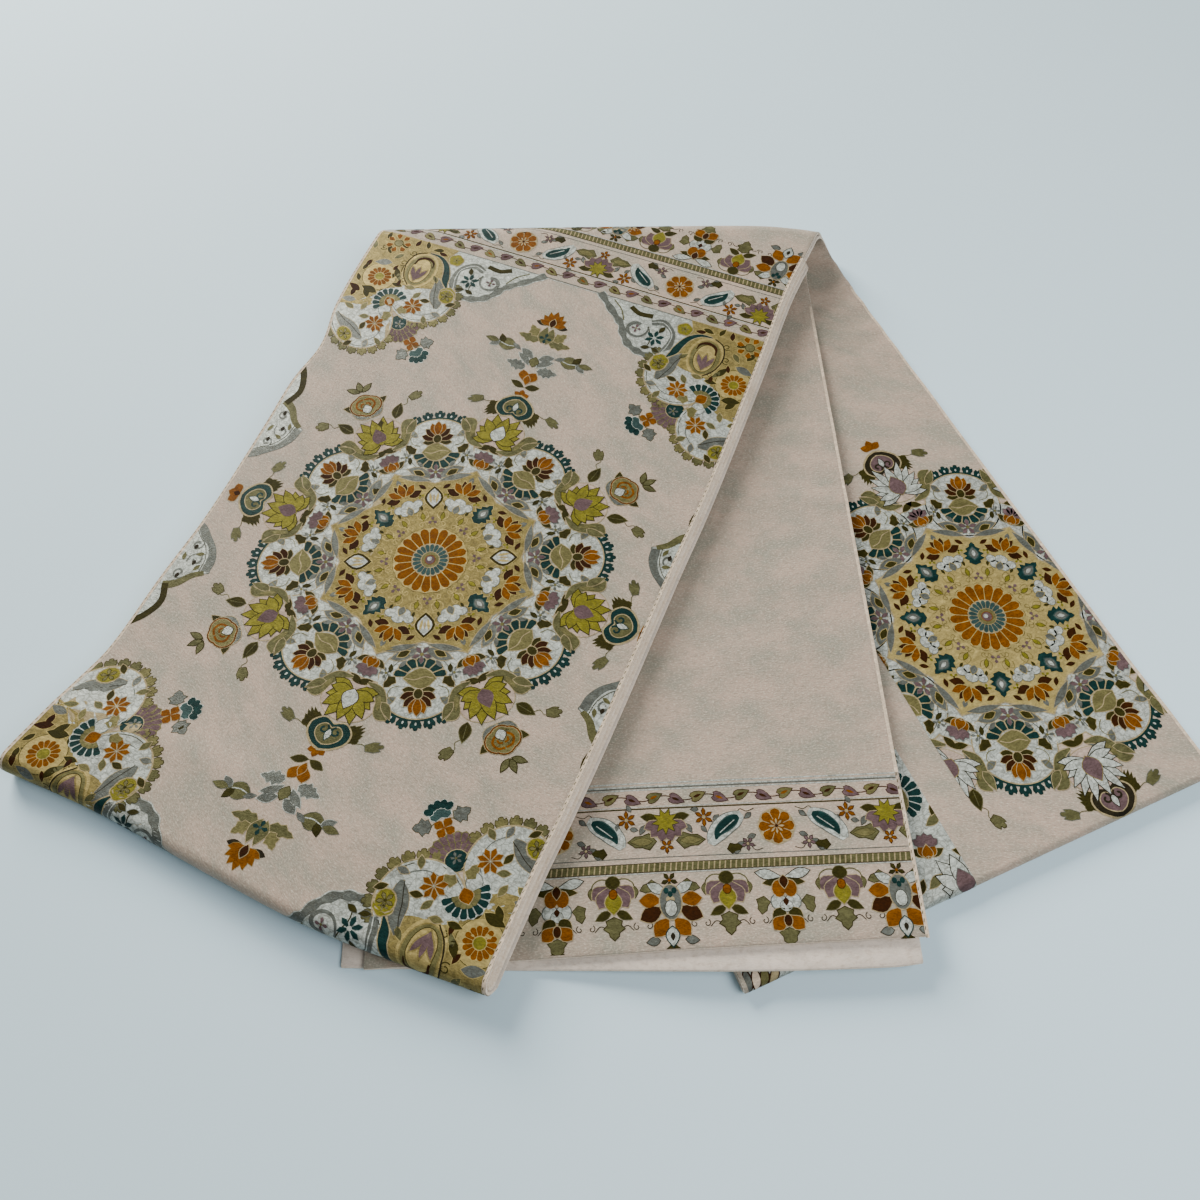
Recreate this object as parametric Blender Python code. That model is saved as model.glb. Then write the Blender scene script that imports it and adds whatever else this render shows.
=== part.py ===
"""Obi sash, folded in eight runs and fanned out into three panels, lying flat.

One long double cloth is folded eight times and laid down as a fan. From the top:

    run 1        left panel, face up
    runs 2 to 4  under the left panel, only their edges show
    run 5        middle panel, face up, one end of the sash
    run 6        under the middle panel, the other end of the sash
    runs 7, 8    right panel, face up, and its own underside on the floor

Runs 4-1, 2-3 and 7-8 join at near rolls. Runs 1-8, 2-7, 3-6 and 4-5 join at the far
loops, one inside the other. Each stretch is a wall of the joined cloth, and the pieces
meet end to end where the cloth runs on.

Units are metres, +Z is up, +Y points away from the near rolls, and the origin lies on
the floor in the middle of the sash's box.
"""

from math import cos, exp, hypot, pi, radians, sin

import bmesh
import bpy

# ---------------------------------------------------------------- cloth
CLOTH_WIDTH = 0.312
CLOTH_THICKNESS = 0.0023
SEAM_GAP = 0.0003
LAYER_GAP = 0.0004
PITCH = CLOTH_THICKNESS + LAYER_GAP
FLOOR_LEVEL = CLOTH_THICKNESS / 2
CROSSING_GAP = 0.0006
EDGE_STEP = 0.0016

# ---------------------------------------------------------------- plan of the fan
# The plan is measured from a point near the middle of the middle panel. The shift brings
# the middle of the sash's box to the origin.
PLAN_SHIFT = (0.0034, -0.0010)

# A heading is clockwise from +Y. Each centre is a point of the panel's own centre line.
LEFT_HEADING = radians(24.4)
LEFT_CENTRE = (-0.1087, -0.0206)
RIGHT_HEADING = radians(-20.8)
RIGHT_CENTRE = (0.2482, -0.0701)
RIGHT_PANEL_EDGE = 0.0674
MIDDLE_RIGHT_EDGE = 0.1724
MIDDLE_NEAR_END = -0.2640
MIDDLE_END_SLANT = 0.0035
UNDER_RIGHT_EDGE = 0.1675
UNDER_WIDTH = 0.3205

# The right panel's right edge leans out a little where it climbs into the far loop.
RIGHT_PANEL_FLARE = 0.0045
RIGHT_FLARE_START = 0.280
RIGHT_FLARE_END = 0.350

# The end of the lower of the two middle runs, which is cut in a soft curve.
UNDER_END = (
    # from right, along
    (0.00, -0.2772),
    (0.05, -0.2785),
    (0.30, -0.2775),
    (0.60, -0.2725),
    (1.00, -0.2655),
)

# Edges of the left panel across its own line, from the near roll to the far loop.
LEFT_EDGES = (
    # along,  left,    right
    (-0.225, -0.1870, 0.1425),
    (-0.205, -0.1845, 0.1425),
    (-0.155, -0.1745, 0.1435),
    (-0.128, -0.1690, 0.1450),
    (-0.070, -0.1672, 0.1470),
    (-0.020, -0.1635, 0.1475),
    (0.060, -0.1630, 0.1480),
    (0.100, -0.1635, 0.1490),
    (0.135, -0.1590, 0.1490),
    (0.173, -0.1670, 0.1485),
    (0.245, -0.1710, 0.1470),
    (0.310, -0.1710, 0.1450),
    (0.370, -0.1710, 0.1480),
    (0.420, -0.1710, 0.1480),
)

# Centre and radius of the left panel's near roll and how loose its runs lie beyond it,
# from its left edge to its right edge.
LEFT_ROLL = (
    # across, along,   radius, looseness
    (0.00, -0.2100, 0.0078, 0.0040),
    (0.20, -0.2105, 0.0074, 0.0034),
    (0.50, -0.2190, 0.0064, 0.0026),
    (0.70, -0.2225, 0.0058, 0.0020),
    (1.00, -0.2180, 0.0052, 0.0012),
)
LEFT_ROLL_LENGTH = 0.095

RIGHT_ROLL_CENTRE = -0.1365
RIGHT_ROLL_RADIUS = 0.0029
RIGHT_ROLL_LENGTH = 0.085
RIGHT_LOOSENESS = 0.0010
MIDDLE_LOOSENESS = 0.0004

# ---------------------------------------------------------------- far loops
LOOP_HEADING = (LEFT_HEADING + RIGHT_HEADING) / 2
LOOP_LINE = 0.2595
LOOP_BULGE = 0.0085
LOOP_BULGE_REACH = 0.018
LOOP_RIGHT_END = 0.1680
INNER_LOOP_SETBACK = 0.0240
FAR_LIFT = 0.0072
FAR_LIFT_LENGTH = 0.330
LOOP_TAIL = 0.045

# ---------------------------------------------------------------- how far cloth bridges
RIGHT_BRIDGE = 0.130
MIDDLE_BRIDGE = 0.190

# Soft creases that cross the right panel below the far loop.
RIGHT_CREASES = (
    # along,  height,  half length
    (0.290, -0.0010, 0.012),
    (0.262, 0.0005, 0.014),
    (0.234, -0.0007, 0.014),
    (0.170, 0.0004, 0.022),
)

# ---------------------------------------------------------------- number of sections
ACROSS = 10
ROLL_SECTIONS = 8
LOOP_SECTIONS = 10
PANEL_SECTIONS = 13
LEFT_SECTIONS = 18
LEFT_NEAR_SPACING = 0.6
RIGHT_SECTIONS = 20
RIGHT_NEAR_SPACING = 0.7
FLOOR_SECTIONS = 6
TAIL_SECTIONS = 2

GROUND_COLOUR = (0.60, 0.52, 0.45, 1.0)
PLAIN_COLOUR = (0.72, 0.66, 0.58, 1.0)


# ---------------------------------------------------------------- small helpers
def ease(low, high, value):
    """Rise smoothly from 0 at low to 1 at high."""
    share = min(1.0, max(0.0, (value - low) / (high - low)))
    return share * share * (3.0 - 2.0 * share)


def read_table(rows, key, column):
    """Read one column of a table at a key, along a smooth curve between its rows."""
    last = len(rows) - 1
    if key <= rows[0][0]:
        return rows[0][column]
    if key >= rows[last][0]:
        return rows[last][column]
    for index in range(last):
        start, end = rows[index], rows[index + 1]
        if key <= end[0]:
            before = rows[max(index - 1, 0)]
            after = rows[min(index + 2, last)]
            span = end[0] - start[0]
            share = (key - start[0]) / span
            rise = span * (end[column] - before[column]) / max(end[0] - before[0], span)
            fall = span * (after[column] - start[column]) / max(after[0] - start[0], span)
            square, cube = share * share, share ** 3
            return ((2 * cube - 3 * square + 1) * start[column]
                    + (cube - 2 * square + share) * rise
                    + (3 * square - 2 * cube) * end[column]
                    + (cube - square) * fall)
    return rows[last][column]


def plan_point(centre, heading, across, along):
    """Place a point given across and along a panel's own line."""
    x = centre[0] + across * cos(heading) + along * sin(heading)
    y = centre[1] - across * sin(heading) + along * cos(heading)
    return x, y


def panel_point(centre, heading, x, y):
    """Measure a place across and along a panel's own line."""
    dx, dy = x - centre[0], y - centre[1]
    return dx * cos(heading) - dy * sin(heading), dx * sin(heading) + dy * cos(heading)


def spread(count, start, end):
    """List count + 1 even steps from start to end."""
    return [start + (end - start) * step / count for step in range(count + 1)]


# ---------------------------------------------------------------- heights of the runs
def right_swell(along):
    """Lift of the right panel's face where its near roll opens it."""
    closing = 1.0 - ease(0.0, RIGHT_ROLL_LENGTH, along - RIGHT_ROLL_CENTRE)
    return (2.0 * RIGHT_ROLL_RADIUS - PITCH - RIGHT_LOOSENESS) * closing


def right_crease(along):
    """Lift of the soft creases across the right panel."""
    return sum(height * exp(-((along - middle) / reach) ** 2)
               for middle, height, reach in RIGHT_CREASES)


def right_height(along):
    """Middle of run 7, the right panel."""
    return FLOOR_LEVEL + PITCH + RIGHT_LOOSENESS + right_swell(along)


def under_height(x, y):
    """Middle of run 6: on the right panel, and bridging down to the floor beside it."""
    across, along = panel_point(RIGHT_CENTRE, RIGHT_HEADING, x, y)
    left_edge = RIGHT_PANEL_EDGE - CLOTH_WIDTH
    near_edge = RIGHT_ROLL_CENTRE - RIGHT_ROLL_RADIUS - FLOOR_LEVEL
    outside = hypot(max(0.0, left_edge - across), max(0.0, near_edge - along))
    carried = right_height(max(along, near_edge)) + PITCH + CROSSING_GAP
    return FLOOR_LEVEL + (carried - FLOOR_LEVEL) * (1.0 - ease(0.0, RIGHT_BRIDGE, outside))


def middle_height(x, y):
    """Middle of run 5, the middle panel, which lies on run 6."""
    return under_height(x, y) + PITCH + MIDDLE_LOOSENESS


def left_base(x, y):
    """Middle of run 4: on the middle panel, and bridging down to the floor beside it."""
    left_edge = MIDDLE_RIGHT_EDGE - UNDER_WIDTH
    held_x = max(x, left_edge)
    held_y = max(y, MIDDLE_NEAR_END)
    outside = hypot(held_x - x, held_y - y)
    carried = middle_height(held_x, held_y) + PITCH + CROSSING_GAP
    return FLOOR_LEVEL + (carried - FLOOR_LEVEL) * (1.0 - ease(0.0, MIDDLE_BRIDGE, outside))


def loop_axes(x, y):
    """Measure a place towards the far loop and along its axis."""
    ahead = x * sin(LOOP_HEADING) + y * cos(LOOP_HEADING)
    sideways = x * cos(LOOP_HEADING) - y * sin(LOOP_HEADING)
    return ahead, sideways


def loop_plan(ahead, sideways):
    """Place a point given towards the far loop and along its axis."""
    x = ahead * sin(LOOP_HEADING) + sideways * cos(LOOP_HEADING)
    y = ahead * cos(LOOP_HEADING) - sideways * sin(LOOP_HEADING)
    return x, y


def loop_line(sideways):
    """Line where the outer loops begin, which bulges away from its right end."""
    inward = max(0.0, LOOP_RIGHT_END - sideways)
    return LOOP_LINE + LOOP_BULGE * (1.0 - exp(-inward / LOOP_BULGE_REACH))


def inner_loop_line(sideways):
    """Line where the two inner loops begin."""
    return loop_line(sideways) - INNER_LOOP_SETBACK


def far_lift(x, y):
    """Lift of runs 1 to 4 towards the far loops."""
    ahead, sideways = loop_axes(x, y)
    start = inner_loop_line(sideways)
    return FAR_LIFT * ease(start - FAR_LIFT_LENGTH, start, ahead)


def left_height(run, across_share, x, y, along):
    """Middle of one of runs 1 to 4, where run 4 is the lowest."""
    radius = read_table(LEFT_ROLL, across_share, 2)
    centre = read_table(LEFT_ROLL, across_share, 1)
    closing = 1.0 - ease(0.0, LEFT_ROLL_LENGTH, along - centre)
    flat = 3.0 * PITCH + read_table(LEFT_ROLL, across_share, 3)
    opening = flat + (2.0 * radius - flat) * closing
    base = left_base(x, y) + far_lift(x, y)
    if run == 4:
        return base
    if run == 3:
        return base + PITCH
    if run == 2:
        return base + opening - PITCH
    return base + opening


# ---------------------------------------------------------------- plan of each run
def left_plan(run, across_share, along):
    """Place a point of runs 1 to 4, whose right edges step out as they go down."""
    left = read_table(LEFT_EDGES, along, 1)
    right = read_table(LEFT_EDGES, along, 2) + EDGE_STEP * (run - 1)
    return plan_point(LEFT_CENTRE, LEFT_HEADING, left + (right - left) * across_share, along)


def left_place(run, across_share, along):
    """Place a point of runs 1 to 4 with its height."""
    x, y = left_plan(run, across_share, along)
    return x, y, left_height(run, across_share, x, y, along)


def right_plan(across_share, along):
    """Place a point of runs 7 and 8."""
    flare = RIGHT_PANEL_FLARE * ease(RIGHT_FLARE_START, RIGHT_FLARE_END, along)
    across = RIGHT_PANEL_EDGE - CLOTH_WIDTH * (1.0 - across_share) + flare * across_share
    return plan_point(RIGHT_CENTRE, RIGHT_HEADING, across, along)


def middle_plan(across_share, along):
    """Place a point of run 5."""
    return MIDDLE_RIGHT_EDGE - CLOTH_WIDTH * (1.0 - across_share), along


def under_plan(across_share, along):
    """Place a point of run 6."""
    return UNDER_RIGHT_EDGE - UNDER_WIDTH * (1.0 - across_share), along


def reach_line(plan, line, low, high):
    """Find how far along a run it meets a line of the far loops."""
    for _ in range(40):
        middle = (low + high) / 2
        ahead, sideways = loop_axes(*plan(middle))
        if ahead < line(sideways):
            low = middle
        else:
            high = middle
    return (low + high) / 2


def loop_rows(start_plan, end_plan, heights):
    """List the sections of a loop that turns over from one run down or up to another."""
    rows = []
    for step in range(LOOP_SECTIONS + 1):
        turn = pi * step / LOOP_SECTIONS

        def row(across_share, turn=turn):
            start = start_plan(across_share)
            end = end_plan(across_share)
            begin, finish = heights(across_share, start, end)
            start_ahead, start_side = loop_axes(*start)
            end_ahead, end_side = loop_axes(*end)
            share = turn / pi
            radius = abs(begin - finish) / 2
            ahead = start_ahead + (end_ahead - start_ahead) * share + radius * sin(turn)
            sideways = start_side + (end_side - start_side) * share
            x, y = loop_plan(ahead, sideways)
            return x, y, (begin + finish) / 2 + (begin - finish) / 2 * cos(turn)

        rows.append(row)
    return rows


def left_line_end(run, across_share, line):
    """Find where one of runs 1 to 4 meets a line of the far loops."""
    return reach_line(lambda along: left_plan(run, across_share, along), line, 0.0, 0.42)


def right_line_end(across_share, line):
    """Find where runs 7 and 8 meet a line of the far loops."""
    return reach_line(lambda along: right_plan(across_share, along), line, 0.0, 0.52)


def left_rows(run, setback=0.0):
    """List the sections of one of runs 1 to 4 from its near roll to the inner loops."""
    rows = []
    for index in range(LEFT_SECTIONS + 1):
        share = index / LEFT_SECTIONS
        share *= LEFT_NEAR_SPACING + (1.0 - LEFT_NEAR_SPACING) * share
        trim = setback if index == LEFT_SECTIONS else 0.0

        def row(across_share, share=share, trim=trim):
            near = read_table(LEFT_ROLL, across_share, 1)
            far = left_line_end(run, across_share, inner_loop_line)
            return left_place(run, across_share, near + (far - near) * share - trim)

        rows.append(row)
    return rows


def left_far_rows(run, sections):
    """List the sections of run 1 or 2 from the inner loops on to the outer loops."""
    rows = []
    for share in spread(sections, 0.0, 1.0):

        def row(across_share, share=share):
            near = left_line_end(run, across_share, inner_loop_line)
            far = left_line_end(run, across_share, loop_line)
            return left_place(run, across_share, near + (far - near) * share)

        rows.append(row)
    return rows


def left_roll_rows(outer):
    """List the sections of the left panel's near roll, from its lower run to its upper."""
    rows = []
    low_run, high_run = (4, 1) if outer else (3, 2)
    for step in range(1, ROLL_SECTIONS):
        turn = pi * step / ROLL_SECTIONS

        def row(across_share, turn=turn):
            centre = read_table(LEFT_ROLL, across_share, 1)
            share = turn / pi
            low = left_plan(low_run, across_share, centre)
            high = left_plan(high_run, across_share, centre)
            low_z = left_height(low_run, across_share, *low, centre)
            high_z = left_height(high_run, across_share, *high, centre)
            radius = (high_z - low_z) / 2
            x = low[0] + (high[0] - low[0]) * share - radius * sin(turn) * sin(LEFT_HEADING)
            y = low[1] + (high[1] - low[1]) * share - radius * sin(turn) * cos(LEFT_HEADING)
            return x, y, low_z + radius * (1.0 - cos(turn))

        rows.append(row)
    return rows


def right_rows(sections):
    """List the sections of run 7 from the far loop to its near roll."""
    rows = []
    for share in spread(sections, 1.0, 0.0):
        share *= RIGHT_NEAR_SPACING + (1.0 - RIGHT_NEAR_SPACING) * share

        def row(across_share, share=share):
            far = right_line_end(across_share, loop_line)
            along = RIGHT_ROLL_CENTRE + (far - RIGHT_ROLL_CENTRE) * share
            x, y = right_plan(across_share, along)
            return x, y, right_height(along) + right_crease(along)

        rows.append(row)
    return rows


def right_roll_rows():
    """List the sections of the right panel's near roll, from its face to its underside."""
    rows = []
    for step in range(1, ROLL_SECTIONS):
        turn = pi * step / ROLL_SECTIONS

        def row(across_share, turn=turn):
            along = RIGHT_ROLL_CENTRE - RIGHT_ROLL_RADIUS * sin(turn)
            x, y = right_plan(across_share, along)
            return x, y, FLOOR_LEVEL + RIGHT_ROLL_RADIUS * (1.0 + cos(turn))

        rows.append(row)
    return rows


def floor_rows(near, setback, sections):
    """List the sections of run 8 on the floor, from along = near towards the far loop."""
    rows = []
    for step in spread(sections, 0.0, 1.0):

        def row(across_share, step=step):
            far = right_line_end(across_share, loop_line) - setback
            start = near if near is not None else far - LOOP_TAIL
            x, y = right_plan(across_share, start + (far - start) * step)
            return x, y, FLOOR_LEVEL

        rows.append(row)
    return rows


# ---------------------------------------------------------------- building
def new_material(name, colour, roughness, metallic=0.0):
    """Make a Principled material."""
    material = bpy.data.materials.new(name)
    material.use_nodes = True
    shader = material.node_tree.nodes["Principled BSDF"]
    shader.inputs["Base Color"].default_value = colour
    shader.inputs["Roughness"].default_value = roughness
    shader.inputs["Metallic"].default_value = metallic
    return material


def split_quads(shape):
    """Split each quad along its higher diagonal, so that runs lying together bend alike."""
    for face in list(shape.faces):
        first, second, third, fourth = face.verts
        if first.co.z + third.co.z < second.co.z + fourth.co.z:
            first, third = second, fourth
        bmesh.utils.face_split(face, first, third)


def cloth_wall(name, rows, material):
    """Build a wall of cloth through rows of sections, each a function of the across share."""
    mesh = bpy.data.meshes.new(name)
    shape = bmesh.new()
    last_row = len(rows) - 1
    bmesh.ops.create_grid(shape, x_segments=ACROSS, y_segments=last_row, size=1.0)
    for vertex in shape.verts:
        across_share = round((vertex.co.x + 1.0) / 2.0 * ACROSS) / ACROSS
        row = rows[round((vertex.co.y + 1.0) / 2.0 * last_row)]
        x, y, z = row(across_share)
        vertex.co = (x + PLAN_SHIFT[0], y + PLAN_SHIFT[1], z)
    split_quads(shape)
    shape.to_mesh(mesh)
    shape.free()
    mesh.materials.append(material)
    piece = bpy.data.objects.new(name, mesh)
    bpy.context.scene.collection.objects.link(piece)
    wall = piece.modifiers.new("cloth thickness", "SOLIDIFY")
    wall.thickness = CLOTH_THICKNESS
    wall.offset = 0.0
    wall.use_even_offset = True
    mesh.shade_smooth()
    return piece


def loop_top(run, across_share, line):
    """Middle of one of runs 1 to 4 where its far loop begins."""
    return left_place(run, across_share, left_line_end(run, across_share, line))[2]


def middle_line_end(across_share):
    """Find where run 5 meets the line of the inner loops."""
    return reach_line(lambda along: middle_plan(across_share, along), inner_loop_line, 0.0, 0.4)


def under_line_end(across_share):
    """Find where run 6 meets the line of the inner loops."""
    return reach_line(lambda along: under_plan(across_share, along), inner_loop_line, 0.0, 0.4)


def build_left_panel():
    """Run 4, the near roll, run 1 with its face up, and the outer far loop."""
    rows = left_rows(4, setback=SEAM_GAP)[::-1]
    rows += left_roll_rows(outer=True)
    rows += left_rows(1)
    rows += left_far_rows(1, 1)[1:]
    rows += loop_rows(
        lambda share: left_plan(1, share, left_line_end(1, share, loop_line)),
        lambda share: right_plan(share, right_line_end(share, loop_line)),
        lambda share, start, end: (loop_top(1, share, loop_line), FLOOR_LEVEL))[1:]
    rows += floor_rows(None, 0.0, TAIL_SECTIONS)[::-1][1:]
    return cloth_wall("left_panel", rows, new_material("brocade face", GROUND_COLOUR, 0.5))


def build_hidden_layers():
    """Runs 2 and 3, which only show at their edges, with their roll and the loop to run 6."""
    rows = left_rows(2, setback=SEAM_GAP)[::-1]
    rows += left_roll_rows(outer=False)[::-1]
    rows += left_rows(3)
    rows += loop_rows(
        lambda share: left_plan(3, share, left_line_end(3, share, inner_loop_line)),
        lambda share: under_plan(share, under_line_end(share)),
        lambda share, start, end: (loop_top(3, share, inner_loop_line), under_height(*end)))[1:]
    return cloth_wall("hidden_layers", rows, new_material("layered edges", PLAIN_COLOUR, 0.7))


def build_right_panel():
    """The loop from run 2, run 7 with its face up, its near roll, and run 8 on the floor."""
    rows = left_far_rows(2, 1)[:-1]
    rows += loop_rows(
        lambda share: left_plan(2, share, left_line_end(2, share, loop_line)),
        lambda share: right_plan(share, right_line_end(share, loop_line)),
        lambda share, start, end: (loop_top(2, share, loop_line),
                                   right_height(right_line_end(share, loop_line))))
    rows += right_rows(RIGHT_SECTIONS)[1:]
    rows += right_roll_rows()
    rows += floor_rows(RIGHT_ROLL_CENTRE, LOOP_TAIL + SEAM_GAP, FLOOR_SECTIONS)
    return cloth_wall("right_panel", rows, new_material("brocade back", GROUND_COLOUR, 0.5))


def build_middle_panel():
    """Run 5, face up, from the sash's one end to the innermost loop, which meets run 4."""
    rows = []
    for step in spread(PANEL_SECTIONS, 0.0, 1.0):

        def row(across_share, step=step):
            near = MIDDLE_NEAR_END - MIDDLE_END_SLANT * (1.0 - across_share)
            far = middle_line_end(across_share)
            x, y = middle_plan(across_share, near + (far - near) * step)
            return x, y, middle_height(x, y)

        rows.append(row)
    rows += loop_rows(
        lambda share: middle_plan(share, middle_line_end(share)),
        lambda share: left_plan(4, share, left_line_end(4, share, inner_loop_line)),
        lambda share, start, end: (middle_height(*start), loop_top(4, share, inner_loop_line)))[1:]
    return cloth_wall("middle_panel", rows, new_material("brocade end", GROUND_COLOUR, 0.5))


def build_middle_under_panel():
    """Run 6, back up, from the sash's other end to the loop of the hidden layers."""
    rows = []
    for step in spread(PANEL_SECTIONS, 0.0, 1.0):

        def row(across_share, step=step):
            near = read_table(UNDER_END, 1.0 - across_share, 1)
            far = under_line_end(across_share) - SEAM_GAP
            x, y = under_plan(across_share, near + (far - near) * step)
            return x, y, under_height(x, y)

        rows.append(row)
    return cloth_wall("middle_under_panel", rows, new_material("plain back", PLAIN_COLOUR, 0.7))


def main():
    """Clear the scene and build the sash."""
    for item in list(bpy.data.objects):
        bpy.data.objects.remove(item, do_unlink=True)
    build_left_panel()
    build_hidden_layers()
    build_right_panel()
    build_middle_panel()
    build_middle_under_panel()


main()
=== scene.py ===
"""Looks of a folded brocade obi sash, laid out as a fan on a pale studio surface.

The sash is one long double cloth, folded in eight runs. Each piece of cloth is a shell on
its solid's form, with softer creases and rounded edges. The woven pattern is drawn with
closed outlines in the cloth's own flat measure, in millimetres, and is then laid on the
cloth, so it bends with the rolls and the loops. The ornament is a generic medallion and
corner scheme built from petals, leaves, fans and scrolls.
"""

import logging
from collections.abc import Callable, Iterable, Sequence
from dataclasses import dataclass
from enum import Enum
from functools import cache

import bmesh
import bpy
import numpy as np
from mathutils import Matrix, Vector

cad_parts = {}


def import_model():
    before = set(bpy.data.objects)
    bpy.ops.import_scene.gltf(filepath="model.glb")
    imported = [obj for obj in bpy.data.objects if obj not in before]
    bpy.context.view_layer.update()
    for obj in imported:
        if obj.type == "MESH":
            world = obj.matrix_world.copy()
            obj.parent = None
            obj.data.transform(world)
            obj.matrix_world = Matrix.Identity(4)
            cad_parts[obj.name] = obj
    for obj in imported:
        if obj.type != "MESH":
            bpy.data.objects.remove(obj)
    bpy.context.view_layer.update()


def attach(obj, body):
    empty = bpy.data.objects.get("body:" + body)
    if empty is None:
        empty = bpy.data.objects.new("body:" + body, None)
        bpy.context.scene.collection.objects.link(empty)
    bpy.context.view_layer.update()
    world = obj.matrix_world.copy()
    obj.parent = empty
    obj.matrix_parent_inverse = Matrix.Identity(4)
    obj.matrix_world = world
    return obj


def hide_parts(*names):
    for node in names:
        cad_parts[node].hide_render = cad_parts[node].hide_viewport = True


logging.basicConfig(level=logging.INFO, format="%(message)s")
LOG = logging.getLogger("obi")

Array = np.ndarray
Points = np.ndarray
Piece = bpy.types.Object
Socket = bpy.types.NodeSocket

MM = 0.001


# ------------------------------------------------------------------ colour and finishes
def linear(hex_colour: str) -> tuple[float, float, float, float]:
    """Turn an sRGB hex colour into linear values.

    Args:
        hex_colour: six hex digits, with or without a leading #.

    Returns:
        Linear red, green and blue, and an alpha of 1.
    """
    digits = hex_colour.lstrip("#")
    channels = [int(digits[place:place + 2], 16) / 255 for place in (0, 2, 4)]
    values = [c / 12.92 if c <= 0.04045 else ((c + 0.055) / 1.055) ** 2.4 for c in channels]
    return (values[0], values[1], values[2], 1)


class Ink(Enum):
    """Threads of the woven pattern. The order is the order of the material slots."""

    GOLD = "gold"
    GOLD_LIGHT = "gold_light"
    SILVER = "silver"
    CREAM = "cream"
    ORANGE = "orange"
    BROWN = "brown"
    TEAL = "teal"
    BLUE = "blue"
    OLIVE = "olive"
    LEAF = "leaf"
    YELLOW = "yellow"
    MAUVE = "mauve"
    GREY = "grey"
    BEIGE = "beige"
    DARK = "dark"
    COTTON = "pale cotton"
    GROUND = "ground"


INKS = tuple(Ink)
(GOLD, GOLD_LIGHT, SILVER, CREAM, ORANGE, BROWN, TEAL, BLUE, OLIVE, LEAF, YELLOW, MAUVE, GREY,
 BEIGE, DARK, COTTON, GROUND) = INKS


@dataclass(frozen=True)
class Thread:
    """Finish of one thread of the pattern.

    Attributes:
        colour: sRGB hex colour of the thread.
        metallic: how metallic the thread is, from 0 for silk to 1 for foil.
        roughness: roughness of its surface.
        shade: sRGB hex colour of its darker flecks.
        gloss: strength of its plain reflection, low because silk is matt across its floats.
        veins: strength of the fine dark lines between its floats.
    """

    colour: str
    metallic: float
    roughness: float
    shade: str
    gloss: float = 0.05
    veins: float = 0.0


# Foil thread is paper or film with gold or silver on it, laid between silk threads, so it is
# only half metallic and gives a dull glint. Dyed silk is hardly metallic, and darker.
THREADS: dict[Ink, Thread] = {
    GOLD: Thread("#7C7043", 0.36, 0.54, "#5E532B", veins=0.34),
    GOLD_LIGHT: Thread("#978854", 0.34, 0.54, "#776A40", veins=0.10),
    SILVER: Thread("#A6ACA5", 0.24, 0.50, "#7A7F79", veins=0.42),
    CREAM: Thread("#8E8160", 0.15, 0.50, "#6A6048"),
    ORANGE: Thread("#663B00", 0.05, 0.58, "#452400"),
    BROWN: Thread("#2B1300", 0.0, 0.65, "#180A00"),
    TEAL: Thread("#0E2A28", 0.12, 0.46, "#051816"),
    BLUE: Thread("#2C413F", 0.14, 0.46, "#1B2C2B"),
    OLIVE: Thread("#2B2809", 0.05, 0.60, "#1A1803"),
    LEAF: Thread("#4F4E32", 0.15, 0.48, "#34331D"),
    YELLOW: Thread("#6B661E", 0.18, 0.50, "#4A4710", veins=0.14),
    MAUVE: Thread("#544345", 0.0, 0.60, "#3C2E2E"),
    GREY: Thread("#565A55", 0.28, 0.42, "#3B3E3A", veins=0.25),
    BEIGE: Thread("#5E5A38", 0.20, 0.46, "#423F24"),
    DARK: Thread("#211D10", 0.05, 0.60, "#131008"),
    COTTON: Thread("#C2B19C", 0.0, 0.60, "#A39380"),
    GROUND: Thread("#A08E80", 0.05, 0.55, "#7F7065"),
}


@dataclass(frozen=True)
class ClothFinish:
    """Finish of plain cloth.

    Attributes:
        name: name of the material.
        colour: sRGB hex colour of the cloth.
        mottle: sRGB hex colour of its soft clouds.
        streak: sRGB hex colour of its short streaks.
        fleck: sRGB hex colour of its fine flecks.
        roughness: roughness of the surface.
        bump: height of the weave's relief, in metres.
    """

    name: str
    colour: str
    mottle: str
    streak: str
    fleck: str
    roughness: float
    bump: float


# Silk with slubs isn't even: soft clouds, short streaks and pale flecks keep the plain ground
# from looking flat, and its matt relief takes the shine off.
BROCADE_GROUND = ClothFinish("brocade ground, silk woven in fine slubs", "#A28F7F", "#858173",
                             "#86796B", "#B9AF9E", 0.55, 0.00026)
# Plain weave without slubs is smoother and paler, so its relief is low and its clouds faint.
PLAIN_BACK = ClothFinish("plain back, cream silk in plain weave", "#CFC2B4", "#BBB1A5",
                         "#AB9C8D", "#D2C6B8", 0.62, 0.0001)
# Cotton beaten up tightly is the palest and the mattest, so the edges read as fine light lines.
SELVEDGE = ClothFinish("selvedge, cream cotton in tight weave", "#E2D2BE", "#D0BEA8",
                       "#BFAB94", "#EBDFCF", 0.65, 0.00012)


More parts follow.
